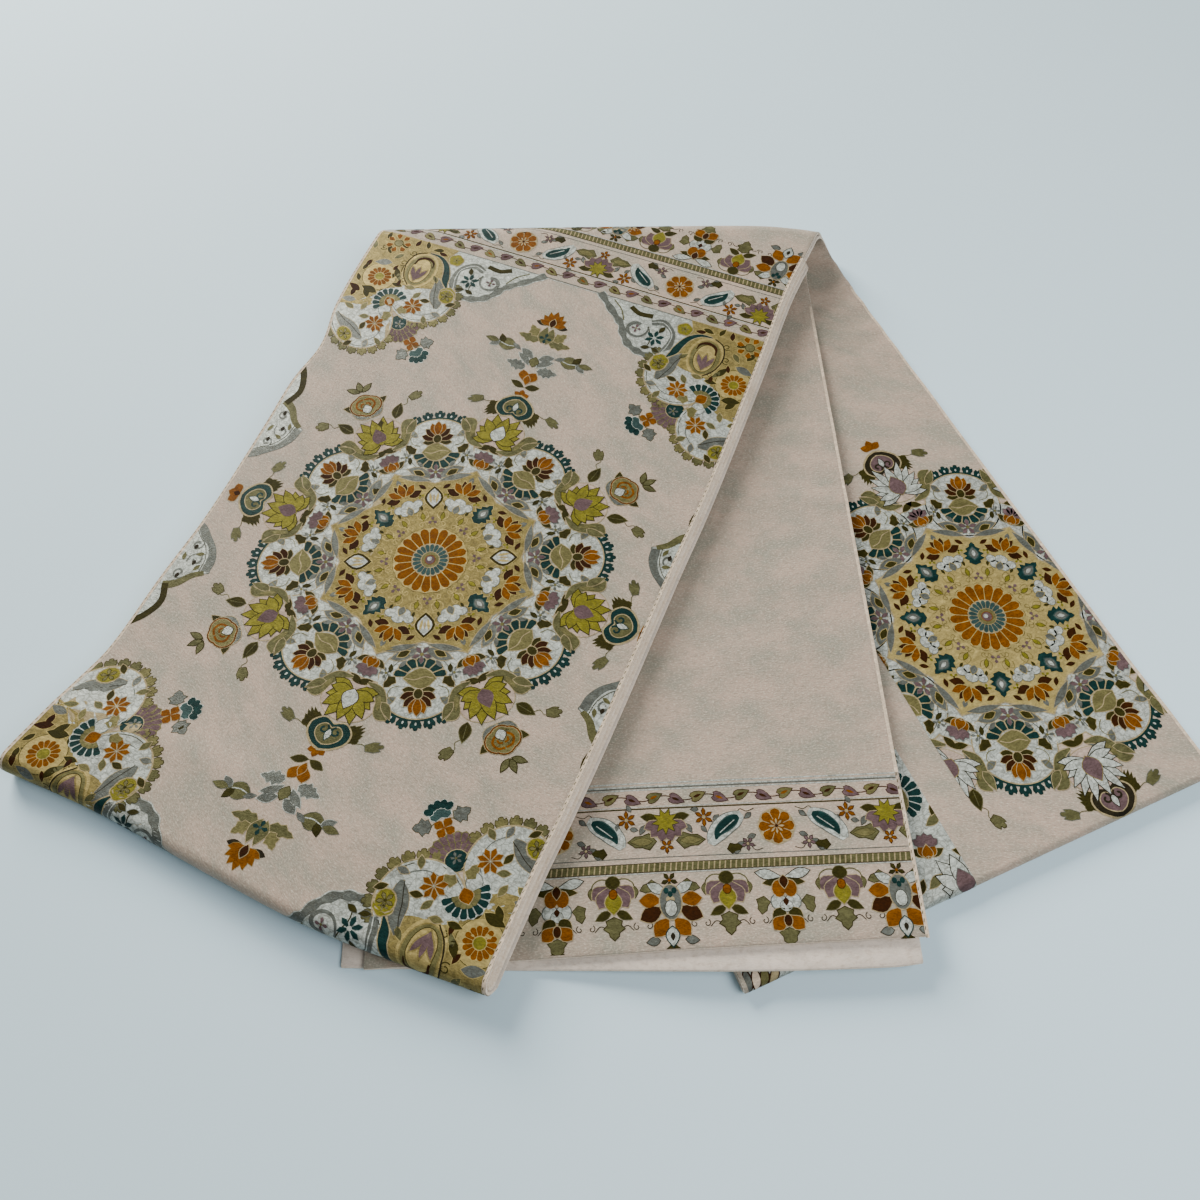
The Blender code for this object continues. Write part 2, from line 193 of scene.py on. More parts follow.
class Nodes:
    """Adds shader nodes with their settings and links to one material."""

    def __init__(self, material: bpy.types.Material) -> None:
        """Take a material's own nodes and its Principled shader.

        Args:
            material: material to add to.
        """
        material.use_nodes = True
        self.tree = material.node_tree
        self.shader = self.tree.nodes["Principled BSDF"]

    def add(self, kind: str, links: dict[str, Socket] | None = None,
            values: dict[str, object] | None = None, **settings: object) -> bpy.types.Node:
        """Add one node.

        Args:
            kind: type name of the node, without its ShaderNode prefix.
            links: input name and the socket that feeds it.
            values: input name and its fixed value.
            settings: attributes of the node.

        Returns:
            The new node.
        """
        node = self.tree.nodes.new("ShaderNode" + kind)
        for key, value in settings.items():
            setattr(node, key, value)
        for key, value in (values or {}).items():
            node.inputs[key].default_value = value
        for key, socket in (links or {}).items():
            self.tree.links.new(socket, node.inputs[key])
        return node

    def feed(self, **links: Socket) -> None:
        """Link sockets to inputs of the shader, with _ for the spaces in their names."""
        for key, socket in links.items():
            self.tree.links.new(socket, self.shader.inputs[key.replace("_", " ")])

    def set(self, **values: float) -> None:
        """Set inputs of the shader, with _ for the spaces in their names."""
        for key, value in values.items():
            self.shader.inputs[key.replace("_", " ")].default_value = value

    def in_mm(self) -> Socket:
        """Give the place on the flat cloth, in millimetres."""
        flat = self.add("UVMap", uv_map="flat").outputs["UV"]
        return self.add("Mapping", {"Vector": flat},
                        {"Scale": (1000, 1000, 1)}).outputs["Vector"]

    def noise(self, place: Socket, size: tuple[float, float], detail: float,
              low: float, high: float) -> Socket:
        """Give noise that runs from 0 to 1 between two of its values.

        Args:
            place: place on the cloth, in millimetres.
            size: size of its features across and along the cloth, in millimetres.
            detail: how many finer layers it has.
            low: value that becomes 0.
            high: value that becomes 1.

        Returns:
            The noise's socket.
        """
        scaled = self.add("Mapping", {"Vector": place},
                          {"Scale": (1 / size[0], 1 / size[1], 1)})
        texture = self.add("TexNoise", {"Vector": scaled.outputs["Vector"]},
                           {"Scale": 1, "Detail": detail, "Roughness": 0.64})
        return self.add("MapRange", {"Value": texture.outputs["Fac"]},
                        {"From Min": low, "From Max": high}).outputs["Result"]

    def mix(self, factor: Socket, first: object, second: object) -> Socket:
        """Mix two colours.

        Args:
            factor: socket with the share of the second colour.
            first: colour or socket at 0.
            second: colour or socket at 1.

        Returns:
            The mixed colour's socket.
        """
        node = self.tree.nodes.new("ShaderNodeMix")
        node.data_type = "RGBA"
        self.tree.links.new(factor, node.inputs[0])
        for place, colour in ((6, first), (7, second)):
            if isinstance(colour, tuple):
                node.inputs[place].default_value = colour
            else:
                self.tree.links.new(colour, node.inputs[place])
        return node.outputs[2]


@cache
def cloth_material(finish: ClothFinish) -> bpy.types.Material:
    """Make a plain cloth: clouded silk with streaks, flecks and the relief of its weave.

    Args:
        finish: finish of the cloth.

    Returns:
        The material.
    """
    material = bpy.data.materials.new(finish.name)
    nodes = Nodes(material)
    place = nodes.in_mm()
    colour = nodes.mix(nodes.noise(place, (34, 24), 6, 0.4, 0.62),
                       linear(finish.colour), linear(finish.mottle))
    colour = nodes.mix(nodes.noise(place, (4.2, 2.4), 4, 0.48, 0.76), colour,
                       linear(finish.streak))
    colour = nodes.mix(nodes.noise(place, (1.6, 0.9), 2, 0.5, 0.8), colour,
                       linear(finish.fleck))
    # About 30 threads lie in a centimetre, too fine to show, so slubs of 2 x 1.1 mm are drawn.
    slubs = nodes.noise(place, (2, 1.1), 3, 0.25, 0.75)
    bump = nodes.add("Bump", {"Height": slubs}, {"Distance": finish.bump, "Strength": 1})
    nodes.feed(Base_Color=colour, Normal=bump.outputs["Normal"])
    nodes.set(Roughness=finish.roughness, Specular_IOR_Level=0.12, Sheen_Weight=0.08,
              Sheen_Roughness=0.5)
    return material


def veins(nodes: Nodes, place: Socket, strength: float) -> Socket:
    """Give the fine bent lines that a foil thread's floats leave between them.

    Args:
        nodes: nodes of the material.
        place: place on the cloth, in millimetres.
        strength: value on the lines.

    Returns:
        The socket, 0 between the lines.
    """
    warp = nodes.add("TexNoise", {"Vector": place}, {"Scale": 0.22, "Detail": 1})
    bent = nodes.add("VectorMath", {0: warp.outputs["Color"], 2: place},
                     {1: (7, 7, 7)}, operation="MULTIPLY_ADD")
    cells = nodes.add("TexVoronoi", {"Vector": bent.outputs["Vector"]}, {"Scale": 0.24},
                      feature="DISTANCE_TO_EDGE")
    return nodes.add("MapRange", {"Value": cells.outputs["Distance"]},
                     {"From Min": 0.03, "From Max": 0.12, "To Min": strength,
                      "To Max": 0}).outputs["Result"]


@cache
def thread_material(ink: Ink) -> bpy.types.Material:
    """Make the material of one thread of the pattern, woven in short floats.

    Args:
        ink: which thread.

    Returns:
        The material.
    """
    thread = THREADS[ink]
    material = bpy.data.materials.new(f"{ink.value} thread, woven in short floats")
    nodes = Nodes(material)
    place = nodes.in_mm()
    shade = linear(thread.shade)
    colour = nodes.mix(nodes.noise(place, (1.7, 0.9), 3, 0.4, 0.74),
                       linear(thread.colour), shade)
    lit = tuple(min(1, 1.5 * c) for c in linear(thread.colour)[:3]) + (1,)
    colour = nodes.mix(nodes.noise(place, (6, 3.6), 4, 0.5, 0.78), colour, lit)
    colour = nodes.mix(nodes.noise(place, (8, 5.4), 4, 0.52, 0.76), colour, shade)
    if thread.veins:
        colour = nodes.mix(veins(nodes, place, thread.veins), colour, linear("#3A3526"))
    # Real floats are about half as large, too fine to show, so they are drawn as 1.3 x 0.7 mm.
    floats = nodes.noise(place, (1.3, 0.7), 3, 0.25, 0.75)
    bump = nodes.add("Bump", {"Height": floats}, {"Distance": 0.00014, "Strength": 1})
    nodes.feed(Base_Color=colour, Normal=bump.outputs["Normal"])
    nodes.set(Metallic=thread.metallic, Roughness=thread.roughness,
              Specular_IOR_Level=thread.gloss)
    return material


# ------------------------------------------------------------------ small geometry helpers
def ease(low: float | Array, high: float | Array, value: float | Array) -> Array:
    """Rise smoothly from 0 at low to 1 at high.

    Args:
        low: value at which the rise starts.
        high: value at which it ends.
        value: where to read it.

    Returns:
        The share of the rise.
    """
    share = np.clip((np.asarray(value, float) - low) / (high - low), 0, 1)
    return share * share * (3 - 2 * share)


def points(x: Array, y: Array, z: Array) -> Points:
    """Join coordinates to points."""
    return np.stack([x, y, z], axis=-1)


class Table:
    """A short table read along a smooth curve between its rows."""

    def __init__(self, rows: Sequence[Sequence[float]]) -> None:
        """Keep the rows.

        Args:
            rows: rows of numbers, in rising order of their first column.
        """
        self.rows = np.asarray(rows, float)

    def read(self, key: float | Array, column: int) -> Array:
        """Read a column.

        Args:
            key: value of the first column to read at.
            column: which column to read.

        Returns:
            The column's value at the key.
        """
        rows = self.rows
        key = np.clip(np.asarray(key, float), rows[0, 0], rows[-1, 0])
        index = np.clip(np.searchsorted(rows[:, 0], key, side="left") - 1, 0, len(rows) - 2)
        start, end = rows[index], rows[index + 1]
        before = rows[np.maximum(index - 1, 0)]
        after = rows[np.minimum(index + 2, len(rows) - 1)]
        span = end[..., 0] - start[..., 0]
        share = (key - start[..., 0]) / span
        rise = (end[..., column] - before[..., column]) * span
        rise = rise / np.maximum(end[..., 0] - before[..., 0], span)
        fall = (after[..., column] - start[..., column]) * span
        fall = fall / np.maximum(after[..., 0] - start[..., 0], span)
        square, cube = share ** 2, share ** 3
        return ((2 * cube - 3 * square + 1) * start[..., column]
                + (cube - 2 * square + share) * rise
                + (3 * square - 2 * cube) * end[..., column]
                + (cube - square) * fall)


# ------------------------------------------------------------------ the folded sash
@dataclass
class Fan:
    """Plan and heights of the eight runs of the folded sash, in metres.

    Headings are clockwise from +Y, in degrees. Runs 1 to 4 are the left panel from its face
    down, run 5 is the middle panel, run 6 lies under it, run 7 is the right panel and run 8
    is its underside on the floor.
    """

    width: float = 0.312
    thickness: float = 0.0023
    layer_gap: float = 0.0004
    crossing_gap: float = 0.0006
    edge_step: float = 0.0016
    seam_gap: float = 0.0003
    shift: tuple[float, float] = (0.0034, -0.001)
    left_heading: float = 24.4
    left_centre: tuple[float, float] = (-0.1087, -0.0206)
    right_heading: float = -20.8
    right_centre: tuple[float, float] = (0.2482, -0.0701)
    right_edge: float = 0.0674
    right_flare: float = 0.0045
    right_flare_start: float = 0.280
    right_flare_end: float = 0.350
    middle_right: float = 0.1724
    middle_near: float = -0.2640
    middle_slant: float = 0.0035
    under_right: float = 0.1675
    under_width: float = 0.3205
    under_end: Table = Table((
        # from right, along
        (0.00, -0.2772), (0.05, -0.2785), (0.3, -0.2775), (0.6, -0.2725), (1.00, -0.2655)))
    left_edges: Table = Table((
        # along, left, right
        (-0.225, -0.187, 0.1425), (-0.205, -0.1845, 0.1425), (-0.155, -0.1745, 0.1435),
        (-0.128, -0.169, 0.145), (-0.07, -0.1672, 0.147), (-0.02, -0.1635, 0.1475),
        (0.06, -0.163, 0.148), (0.1, -0.1635, 0.149), (0.135, -0.159, 0.149),
        (0.173, -0.167, 0.1485), (0.245, -0.171, 0.147), (0.31, -0.171, 0.145),
        (0.37, -0.171, 0.148), (0.42, -0.171, 0.148)))
    left_roll: Table = Table((
        # across, along, radius, looseness
        (0.00, -0.21, 0.0078, 0.004), (0.2, -0.2105, 0.0074, 0.0034),
        (0.5, -0.219, 0.0064, 0.0026), (0.7, -0.2225, 0.0058, 0.002),
        (1.00, -0.218, 0.0052, 0.0012)))
    left_roll_length: float = 0.095
    right_roll: float = -0.1365
    right_roll_radius: float = 0.0029
    right_roll_length: float = 0.085
    right_looseness: float = 0.0010
    middle_looseness: float = 0.0004
    loop_start: float = 0.2595
    loop_bulge: float = 0.0085
    loop_bulge_reach: float = 0.018
    loop_right_end: float = 0.1680
    inner_setback: float = 0.0240
    far_lift: float = 0.0072
    far_lift_length: float = 0.330
    loop_tail: float = 0.045
    right_bridge: float = 0.130
    middle_bridge: float = 0.190
    samples: int = 157
    farthest: float = 0.52

    def __post_init__(self) -> None:
        """Work out the sizes that follow from the others."""
        self.pitch = self.thickness + self.layer_gap
        self.floor = self.thickness / 2
        self.loop_heading = (self.left_heading + self.right_heading) / 2
        self.fold_share = np.cos(np.radians(self.left_heading - self.loop_heading))

    @staticmethod
    def _turned(heading: float) -> tuple[float, float]:
        """Give the sine and cosine of a heading in degrees."""
        return float(np.sin(np.radians(heading))), float(np.cos(np.radians(heading)))

    def plan(self, centre: tuple[float, float], heading: float, across: Array,
             along: Array) -> tuple[Array, Array]:
        """Place points given across and along a panel's own line.

        Args:
            centre: a point of the panel's centre line.
            heading: the panel's heading.
            across: distance to the right of the line.
            along: distance towards the far loop.

        Returns:
            The x and y of the points.
        """
        sine, cosine = self._turned(heading)
        return (centre[0] + across * cosine + along * sine,
                centre[1] - across * sine + along * cosine)

    def loop_axes(self, x: Array, y: Array) -> tuple[Array, Array]:
        """Measure places towards the far loop and along its axis."""
        sine, cosine = self._turned(self.loop_heading)
        return x * sine + y * cosine, x * cosine - y * sine

    def loop_line(self, sideways: Array) -> Array:
        """Line where the outer loops begin, which bulges away from its right end."""
        inward = np.maximum(0, self.loop_right_end - sideways)
        return self.loop_start + self.loop_bulge * (1 - np.exp(-inward / self.loop_bulge_reach))

    def inner_line(self, sideways: Array) -> Array:
        """Line where the inner loops begin."""
        return self.loop_line(sideways) - self.inner_setback

    def right_height(self, along: Array) -> Array:
        """Middle of run 7."""
        closing = 1 - ease(0, self.right_roll_length, along - self.right_roll)
        swell = (2 * self.right_roll_radius - self.pitch - self.right_looseness) * closing
        return self.floor + self.pitch + self.right_looseness + swell

    def under_height(self, x: Array, y: Array) -> Array:
        """Middle of run 6: on the right panel, and bridging down to the floor beside it."""
        sine, cosine = self._turned(self.right_heading)
        dx, dy = x - self.right_centre[0], y - self.right_centre[1]
        across, along = dx * cosine - dy * sine, dx * sine + dy * cosine
        near = self.right_roll - self.right_roll_radius - self.floor
        outside = np.hypot(np.maximum(0, self.right_edge - self.width - across),
                           np.maximum(0, near - along))
        carried = self.right_height(np.maximum(along, near)) + self.pitch + self.crossing_gap
        return self.floor + (carried - self.floor) * (1 - ease(0, self.right_bridge, outside))

    def middle_height(self, x: Array, y: Array) -> Array:
        """Middle of run 5, which lies on run 6."""
        return self.under_height(x, y) + self.pitch + self.middle_looseness

    def left_base(self, x: Array, y: Array) -> Array:
        """Middle of run 4: on the middle panel, and bridging down to the floor beside it."""
        held_x = np.maximum(x, self.middle_right - self.under_width)
        held_y = np.maximum(y, self.middle_near)
        outside = np.hypot(held_x - x, held_y - y)
        carried = self.middle_height(held_x, held_y) + self.pitch + self.crossing_gap
        base = self.floor + (carried - self.floor) * (1 - ease(0, self.middle_bridge, outside))
        ahead, sideways = self.loop_axes(x, y)
        start = self.inner_line(sideways)
        return base + self.far_lift * ease(start - self.far_lift_length, start, ahead)

    def left_plan(self, run: int, share: Array, along: Array) -> tuple[Array, Array]:
        """Place points of runs 1 to 4, whose right edges step out as they go down."""
        left = self.left_edges.read(along, 1)
        right = self.left_edges.read(along, 2) + self.edge_step * (run - 1)
        across = left + (right - left) * share
        return self.plan(self.left_centre, self.left_heading, across, along)

    def left_place(self, run: int, share: Array, along: Array) -> Array:
        """Place points of runs 1 to 4 with their heights.

        Args:
            run: which run, from 1 at the top to 4.
            share: share of the width, from the left edge.
            along: distance along the panel.

        Returns:
            Points of the middle of the cloth.
        """
        x, y = self.left_plan(run, share, along)
        closing = 1 - ease(0, self.left_roll_length, along - self.left_roll.read(share, 1))
        flat = 3 * self.pitch + self.left_roll.read(share, 3)
        opening = flat + (2 * self.left_roll.read(share, 2) - flat) * closing
        above = {4: 0, 3: self.pitch, 2: opening - self.pitch, 1: opening}[run]
        return points(x, y, self.left_base(x, y) + above)

    def right_plan(self, share: Array, along: Array) -> tuple[Array, Array]:
        """Place points of runs 7 and 8."""
        flare = self.right_flare * ease(self.right_flare_start, self.right_flare_end, along)
        across = self.right_edge - self.width * (1 - share) + flare * share
        return self.plan(self.right_centre, self.right_heading, across, along)

    def middle_plan(self, share: Array, along: Array) -> tuple[Array, Array]:
        """Place points of run 5."""
        return self.middle_right - self.width * (1 - share), along + 0 * share

    def under_plan(self, share: Array, along: Array) -> tuple[Array, Array]:
        """Place points of run 6."""
        return self.under_right - self.under_width * (1 - share), along + 0 * share

    def under_place(self, share: Array, along: Array) -> Points:
        """Place points of run 6 with their heights."""
        x, y = self.under_plan(share, along)
        return points(x, y, self.under_height(x, y))

    def floor_place(self, share: Array, along: Array) -> Points:
        """Place points of run 8, which lies on the floor."""
        x, y = self.right_plan(share, along)
        return points(x, y, np.full_like(x, self.floor))

    def reach(self, plan: Callable, line: Callable) -> Callable[[Array], Array]:
        """Find how far along a run it meets a line of the far loops.

        Args:
            plan: gives the x and y of a share of the width and a distance along.
            line: line of the far loops.

        Returns:
            A function that gives the distance along the run at shares of the width.
        """
        shares = np.linspace(0, 1, self.samples)
        low, high = np.zeros_like(shares), np.full_like(shares, self.farthest)
        for _ in range(36):
            middle = (low + high) / 2
            ahead, sideways = self.loop_axes(*plan(shares, middle))
            short = ahead < line(sideways)
            low, high = np.where(short, middle, low), np.where(short, high, middle)
        found = (low + high) / 2
        return lambda share: np.interp(share, shares, found)

    def left_reach(self, run: int, line: Callable) -> Callable[[Array], Array]:
        """Find where one of runs 1 to 4 meets a line of the far loops."""
        return self.reach(lambda share, along: self.left_plan(run, share, along), line)

    def turn_over(self, start: Array, end: Array, turn: Array) -> Array:
        """Turn the cloth over in a loop from one run to another.

        Args:
            start: where the loop begins.
            end: where it ends, below or above.
            turn: how far it has turned, from 0 to pi.

        Returns:
            Points of the middle of the cloth.
        """
        sine, cosine = self._turned(self.loop_heading)
        start_ahead, start_side = self.loop_axes(start[..., 0], start[..., 1])
        end_ahead, end_side = self.loop_axes(end[..., 0], end[..., 1])
        share = turn / np.pi
        radius = (start[..., 2] - end[..., 2]) / 2
        ahead = start_ahead + (end_ahead - start_ahead) * share + np.abs(radius) * np.sin(turn)
        side = start_side + (end_side - start_side) * share
        height = (start[..., 2] + end[..., 2]) / 2 + radius * np.cos(turn)
        return points(ahead * sine + side * cosine, ahead * cosine - side * sine, height)

    def roll_under(self, low_run: int, high_run: int, share: Array, turn: Array) -> Array:
        """Turn the cloth over in the left panel's near roll.

        Args:
            low_run: run that the roll comes from, below.
            high_run: run that it goes to, above.
            share: share of the width.
            turn: how far it has turned, from 0 below to pi above.

        Returns:
            Points of the middle of the cloth.
        """
        sine, cosine = self._turned(self.left_heading)
        centre = self.left_roll.read(share, 1)
        low = self.left_place(low_run, share, centre)
        high = self.left_place(high_run, share, centre)
        radius = (high[..., 2] - low[..., 2]) / 2
        mixed = low + (high - low) * (turn / np.pi)[..., None]
        return points(mixed[..., 0] - radius * np.sin(turn) * sine,
                      mixed[..., 1] - radius * np.sin(turn) * cosine,
                      low[..., 2] + radius * (1 - np.cos(turn)))


# ------------------------------------------------------------------ faces that carry a pattern
@dataclass
class Face:
    """A stretch of the cloth's patterned face, which takes flat places to the scene."""

    fan: Fan

    def middle(self, share: Array, along: Array) -> Points:
        """Give the middle of the cloth at a share of its width and a distance along it."""
        raise NotImplementedError

    def lifted(self, share: Array, along: Array, lift: Array) -> Points:
        """Give places above the face.

        Args:
            share: share of the width, from the left edge.
            along: distance along the cloth, in metres.
            lift: height above the face, in metres.

        Returns:
            Points above the face. Beyond the end of a roll or a loop they aren't finite.
        """
        step = 2e-4
        across = (self.middle(np.minimum(share + step, 1), along)
                  - self.middle(np.maximum(share - step, 0), along))
        onward = self.middle(share, along + step) - self.middle(share, along - step)
        normal = np.cross(across, onward)
        normal /= np.linalg.norm(normal, axis=-1, keepdims=True)
        raised = lift + self.fan.thickness / 2
        return self.middle(share, along) + normal * raised[..., None]


class LeftFace(Face):
    """Run 1 with the near roll that it comes from and the outer loop that it goes into."""

    # share, along, height
    folds = Table(((0, -0.172, 0.0006), (0.35, -0.168, 0.0009), (0.7, -0.176, 0.0007),
                   (1, -0.183, 0.0004)))

    def __init__(self, fan: Fan) -> None:
        """Read the line of the outer loops across the width."""
        super().__init__(fan)
        self.far = fan.left_reach(1, fan.loop_line)
        self.landing = fan.reach(fan.right_plan, fan.loop_line)

    def ridge(self, share: Array, along: Array) -> Array:
        """Lift of the soft creases that cross the left panel."""
        lift = self.folds.read(share, 2) * np.exp(
            -((along - self.folds.read(share, 1)) / 0.011) ** 2)
        lift += 0.0005 * np.exp(-((along - 0.205 - 0.02 * share) / 0.03) ** 2) * np.sin(share * 7)
        return lift

    def middle(self, share: Array, along: Array) -> Points:
        """Give the middle of run 1's cloth, round its roll and over its loop."""
        fan, near, far = self.fan, self.fan.left_roll.read(share, 1), self.far(share)
        inner = np.clip(along, near, far)
        place = fan.left_place(1, share, inner)
        place[..., 2] += self.ridge(share, inner)
        low, high = fan.left_place(4, share, near), fan.left_place(1, share, near)
        radius = (high[..., 2] - low[..., 2]) / 2 + fan.thickness / 2
        turned = np.pi - np.clip((near - along) / radius, 0, np.pi)
        place = np.where((along < near)[..., None], fan.roll_under(4, 1, share, turned), place)
        return np.where((along > far)[..., None], self.loop(share, along - far), place)

    def loop_ends(self, share: Array) -> tuple[Points, Points]:
        """Give where the outer loop starts, on run 1, and where it lands on the floor."""
        far = self.far(share)
        start = self.fan.left_place(1, share, far)
        start[..., 2] += self.ridge(share, far)
        return start, self.fan.floor_place(share, self.landing(share))

    def loop(self, share: Array, beyond: Array) -> Points:
        """Give the middle of the outer loop's cloth, some way beyond its start."""
        start, end = self.loop_ends(share)
        radius = (start[..., 2] - end[..., 2]) / 2 + self.fan.thickness / 2
        turn = np.clip(beyond * self.fan.fold_share / radius, 0, np.pi)
        return self.fan.turn_over(start, end, turn)


class RightFace(Face):
    """Run 7 with its near roll and the loop that it goes into."""

    def __init__(self, fan: Fan) -> None:
        """Read the line of the outer loops across the width."""
        super().__init__(fan)
        self.far = fan.reach(fan.right_plan, fan.loop_line)
        self.above = fan.left_reach(2, fan.loop_line)

    def creases(self, share: Array, along: Array) -> Array:
        """Lift of the soft creases that cross the right panel near its loop."""
        lift = np.zeros_like(along)
        for middle, height, reach, slope in (
                (0.292, 0.0015, 0.006, 0.012), (0.272, 0.0012, 0.007, 0.006),
                (0.25, 0.0008, 0.008, -0.01), (0.222, 0.0006, 0.01, 0.004),
                (0.176, 0.0006, 0.018, 0), (-0.095, 0.0006, 0.016, 0.014)):
            centre = middle + slope * (share - 0.75)
            strength = 0.45 + 0.55 * ease(0.35, 0.95, share)
            lift = lift + height * strength * np.exp(-((along - centre) / reach) ** 2)
        return lift

    def middle(self, share: Array, along: Array) -> Points:
        """Give the middle of run 7's cloth, round its roll and up into its loop."""
        fan, near, far = self.fan, self.fan.right_roll, self.far(share)
        inner = np.clip(along, near, far)
        x, y = fan.right_plan(share, inner)
        flat = points(x, y, fan.right_height(inner) + self.creases(share, inner))
        radius = fan.right_roll_radius
        turn = np.clip((near - along) / (radius + fan.thickness / 2), 0, np.pi)
        x, y = fan.right_plan(share, near - radius * np.sin(turn))
        lowered = self.creases(share, np.full_like(along, near)) * (1 + np.cos(turn)) / 2
        roll = points(x, y, fan.floor + radius * (1 + np.cos(turn)) + lowered)
        place = np.where((along < near)[..., None], roll, flat)
        return np.where((along > far)[..., None], self.loop(share, along - far), place)

    def loop_ends(self, share: Array) -> tuple[Points, Points]:
        """Give where the loop starts, on run 2, and where it ends, on run 7."""
        far = self.far(share)
        x, y = self.fan.right_plan(share, far)
        end = points(x, y, self.fan.right_height(far) + self.creases(share, far))
        return self.fan.left_place(2, share, self.above(share)), end

    def loop(self, share: Array, beyond: Array) -> Points:
        """Give the middle of the loop's cloth, some way beyond its start on run 7."""
        start, end = self.loop_ends(share)
        radius = (start[..., 2] - end[..., 2]) / 2 - self.fan.thickness / 2
        turn = np.pi - np.clip(beyond * self.fan.fold_share / radius, 0, np.pi)
        return self.fan.turn_over(start, end, turn)


class MiddleFace(Face):
    """Run 5, from the sash's end to the innermost loop."""

    def middle(self, share: Array, along: Array) -> Points:
        """Give the middle of run 5's cloth."""
        x, y = self.fan.middle_plan(share, along)
        return points(x, y, self.fan.middle_height(x, y) + self.creases(share, along))

    def creases(self, share: Array, along: Array) -> Array:
        """Lift of the soft creases that cross the part which the left panel leaves open."""
        lift = np.zeros_like(along)
        for middle, height, reach, slope in (
                (0.082, 0.0007, 0.012, -0.01), (0.055, 0.0004, 0.006, 0.01),
                (0.026, 0.0007, 0.008, -0.03), (-0.034, 0.0004, 0.014, 0.02),
                (-0.09, 0.0005, 0.016, 0.01)):
            lift = lift + height * np.exp(-((along - middle - slope * (share - 0.9)) / reach) ** 2)
        cover = 0.68 + 1.5 * along
        return lift * ease(cover, cover + 0.16, share)


# ------------------------------------------------------------------ cloth shells
def in_scene(name: str, data: bpy.types.ID) -> Piece:
    """Add an object to the scene."""
    piece = bpy.data.objects.new(name, data)
    bpy.context.scene.collection.objects.link(piece)
    return piece


@dataclass
class Panel:
    """A stretch of the sash between two of its ends, as a shell with rounded edges.

    Attributes:
        fan: the folded sash.
        columns: how many columns of faces lie across the cloth.
        edge_round: radius of the rounded edges, in metres.
        name: name of the piece and of the solid that it replaces.
        slot: material slot of the record; not used.
        upper: finish of the side that the grid's normals point out of.
        lower: finish of the other side.
        cut_length: length that the stretch is cut to, in metres; not used.
        sense: -1 where its rows run against the measure of the patterned face.
    """

    fan: Fan
    columns: int = 64
    edge_round: float = 0.0009
    name: str = ""
    slot: str = "brocade"
    upper: ClothFinish = BROCADE_GROUND
    lower: ClothFinish = PLAIN_BACK
    cut_length: float = 0.0
    sense: int = 1

    def __post_init__(self) -> None:
        """Work out the shares of the width at the columns."""
        self.shares = np.linspace(0, 1, self.columns + 1)

    def rows(self) -> tuple[Points, float]:
        """Give the middle of the cloth in rows along it, and where the first row lies."""
        raise NotImplementedError

    def grid(self, maker: Callable[[Array, Array], Points],
             *stretches: tuple[float, float, int]) -> Points:
        """Read a maker of points on a grid of stations along the cloth and its columns.

        Args:
            maker: gives points for shares of the width and stations.
            stretches: first and last station and number of steps of each stretch.

        Returns:
            The grid of points.
        """
        parts = [np.linspace(start, end, steps, endpoint=False) for start, end, steps in stretches]
        stations = np.concatenate(parts + [np.array([stretches[-1][1]])])
        return maker(*np.meshgrid(self.shares, stations))

    def build(self, *pattern: Piece) -> Piece:
        """Args:
            pattern: pieces that are woven into it; not used.

        Returns:
            The shell.
        """
        rows, start = self.rows()
        steps = np.linalg.norm(np.diff(rows, axis=0), axis=-1)
        along = start + np.concatenate([np.zeros((1, rows.shape[1])), np.cumsum(steps, axis=0)])
        across = np.broadcast_to((self.shares - 0.5) * self.fan.width, along.shape)
        flat = np.stack([across, self.sense * along], axis=-1)
        rows = rows + np.array([*self.fan.shift, 0])
        last_row, last_column = rows.shape[0] - 1, rows.shape[1] - 1
        shape = bmesh.new()
        bmesh.ops.create_grid(shape, x_segments=last_column, y_segments=last_row, size=1.0)
        uv = shape.loops.layers.uv.new("flat")
        places = {}
        for vertex in shape.verts:
            column = round((vertex.co.x + 1) / 2 * last_column)
            row = round((vertex.co.y + 1) / 2 * last_row)
            places[vertex] = flat[row, column]
            vertex.co = rows[row, column]
        for face in shape.faces:
            face.smooth = True
            for loop in face.loops:
                loop[uv].uv = places[loop.vert]
        mesh = bpy.data.meshes.new(self.name)
        shape.to_mesh(mesh)
        shape.free()
        for finish in (self.upper, self.lower, SELVEDGE):
            mesh.materials.append(cloth_material(finish))
        piece = in_scene(self.name, mesh)
        wall = piece.modifiers.new("cloth thickness", "SOLIDIFY")
        wall.thickness = self.fan.thickness
        wall.offset = 0
        wall.use_even_offset = True
        wall.material_offset = 1
        wall.material_offset_rim = 2
        bevel = piece.modifiers.new("rounded edges", "BEVEL")
        bevel.width = self.edge_round
        bevel.segments = 2
        bevel.limit_method = "ANGLE"
        bevel.angle_limit = np.radians(60)
        bevel.profile = 0.5
        bevel.material = -1
        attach(piece, "root")
        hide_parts(self.name)
        LOG.info("%s: %d rows of %d", self.name, last_row + 1, last_column + 1)
        return piece


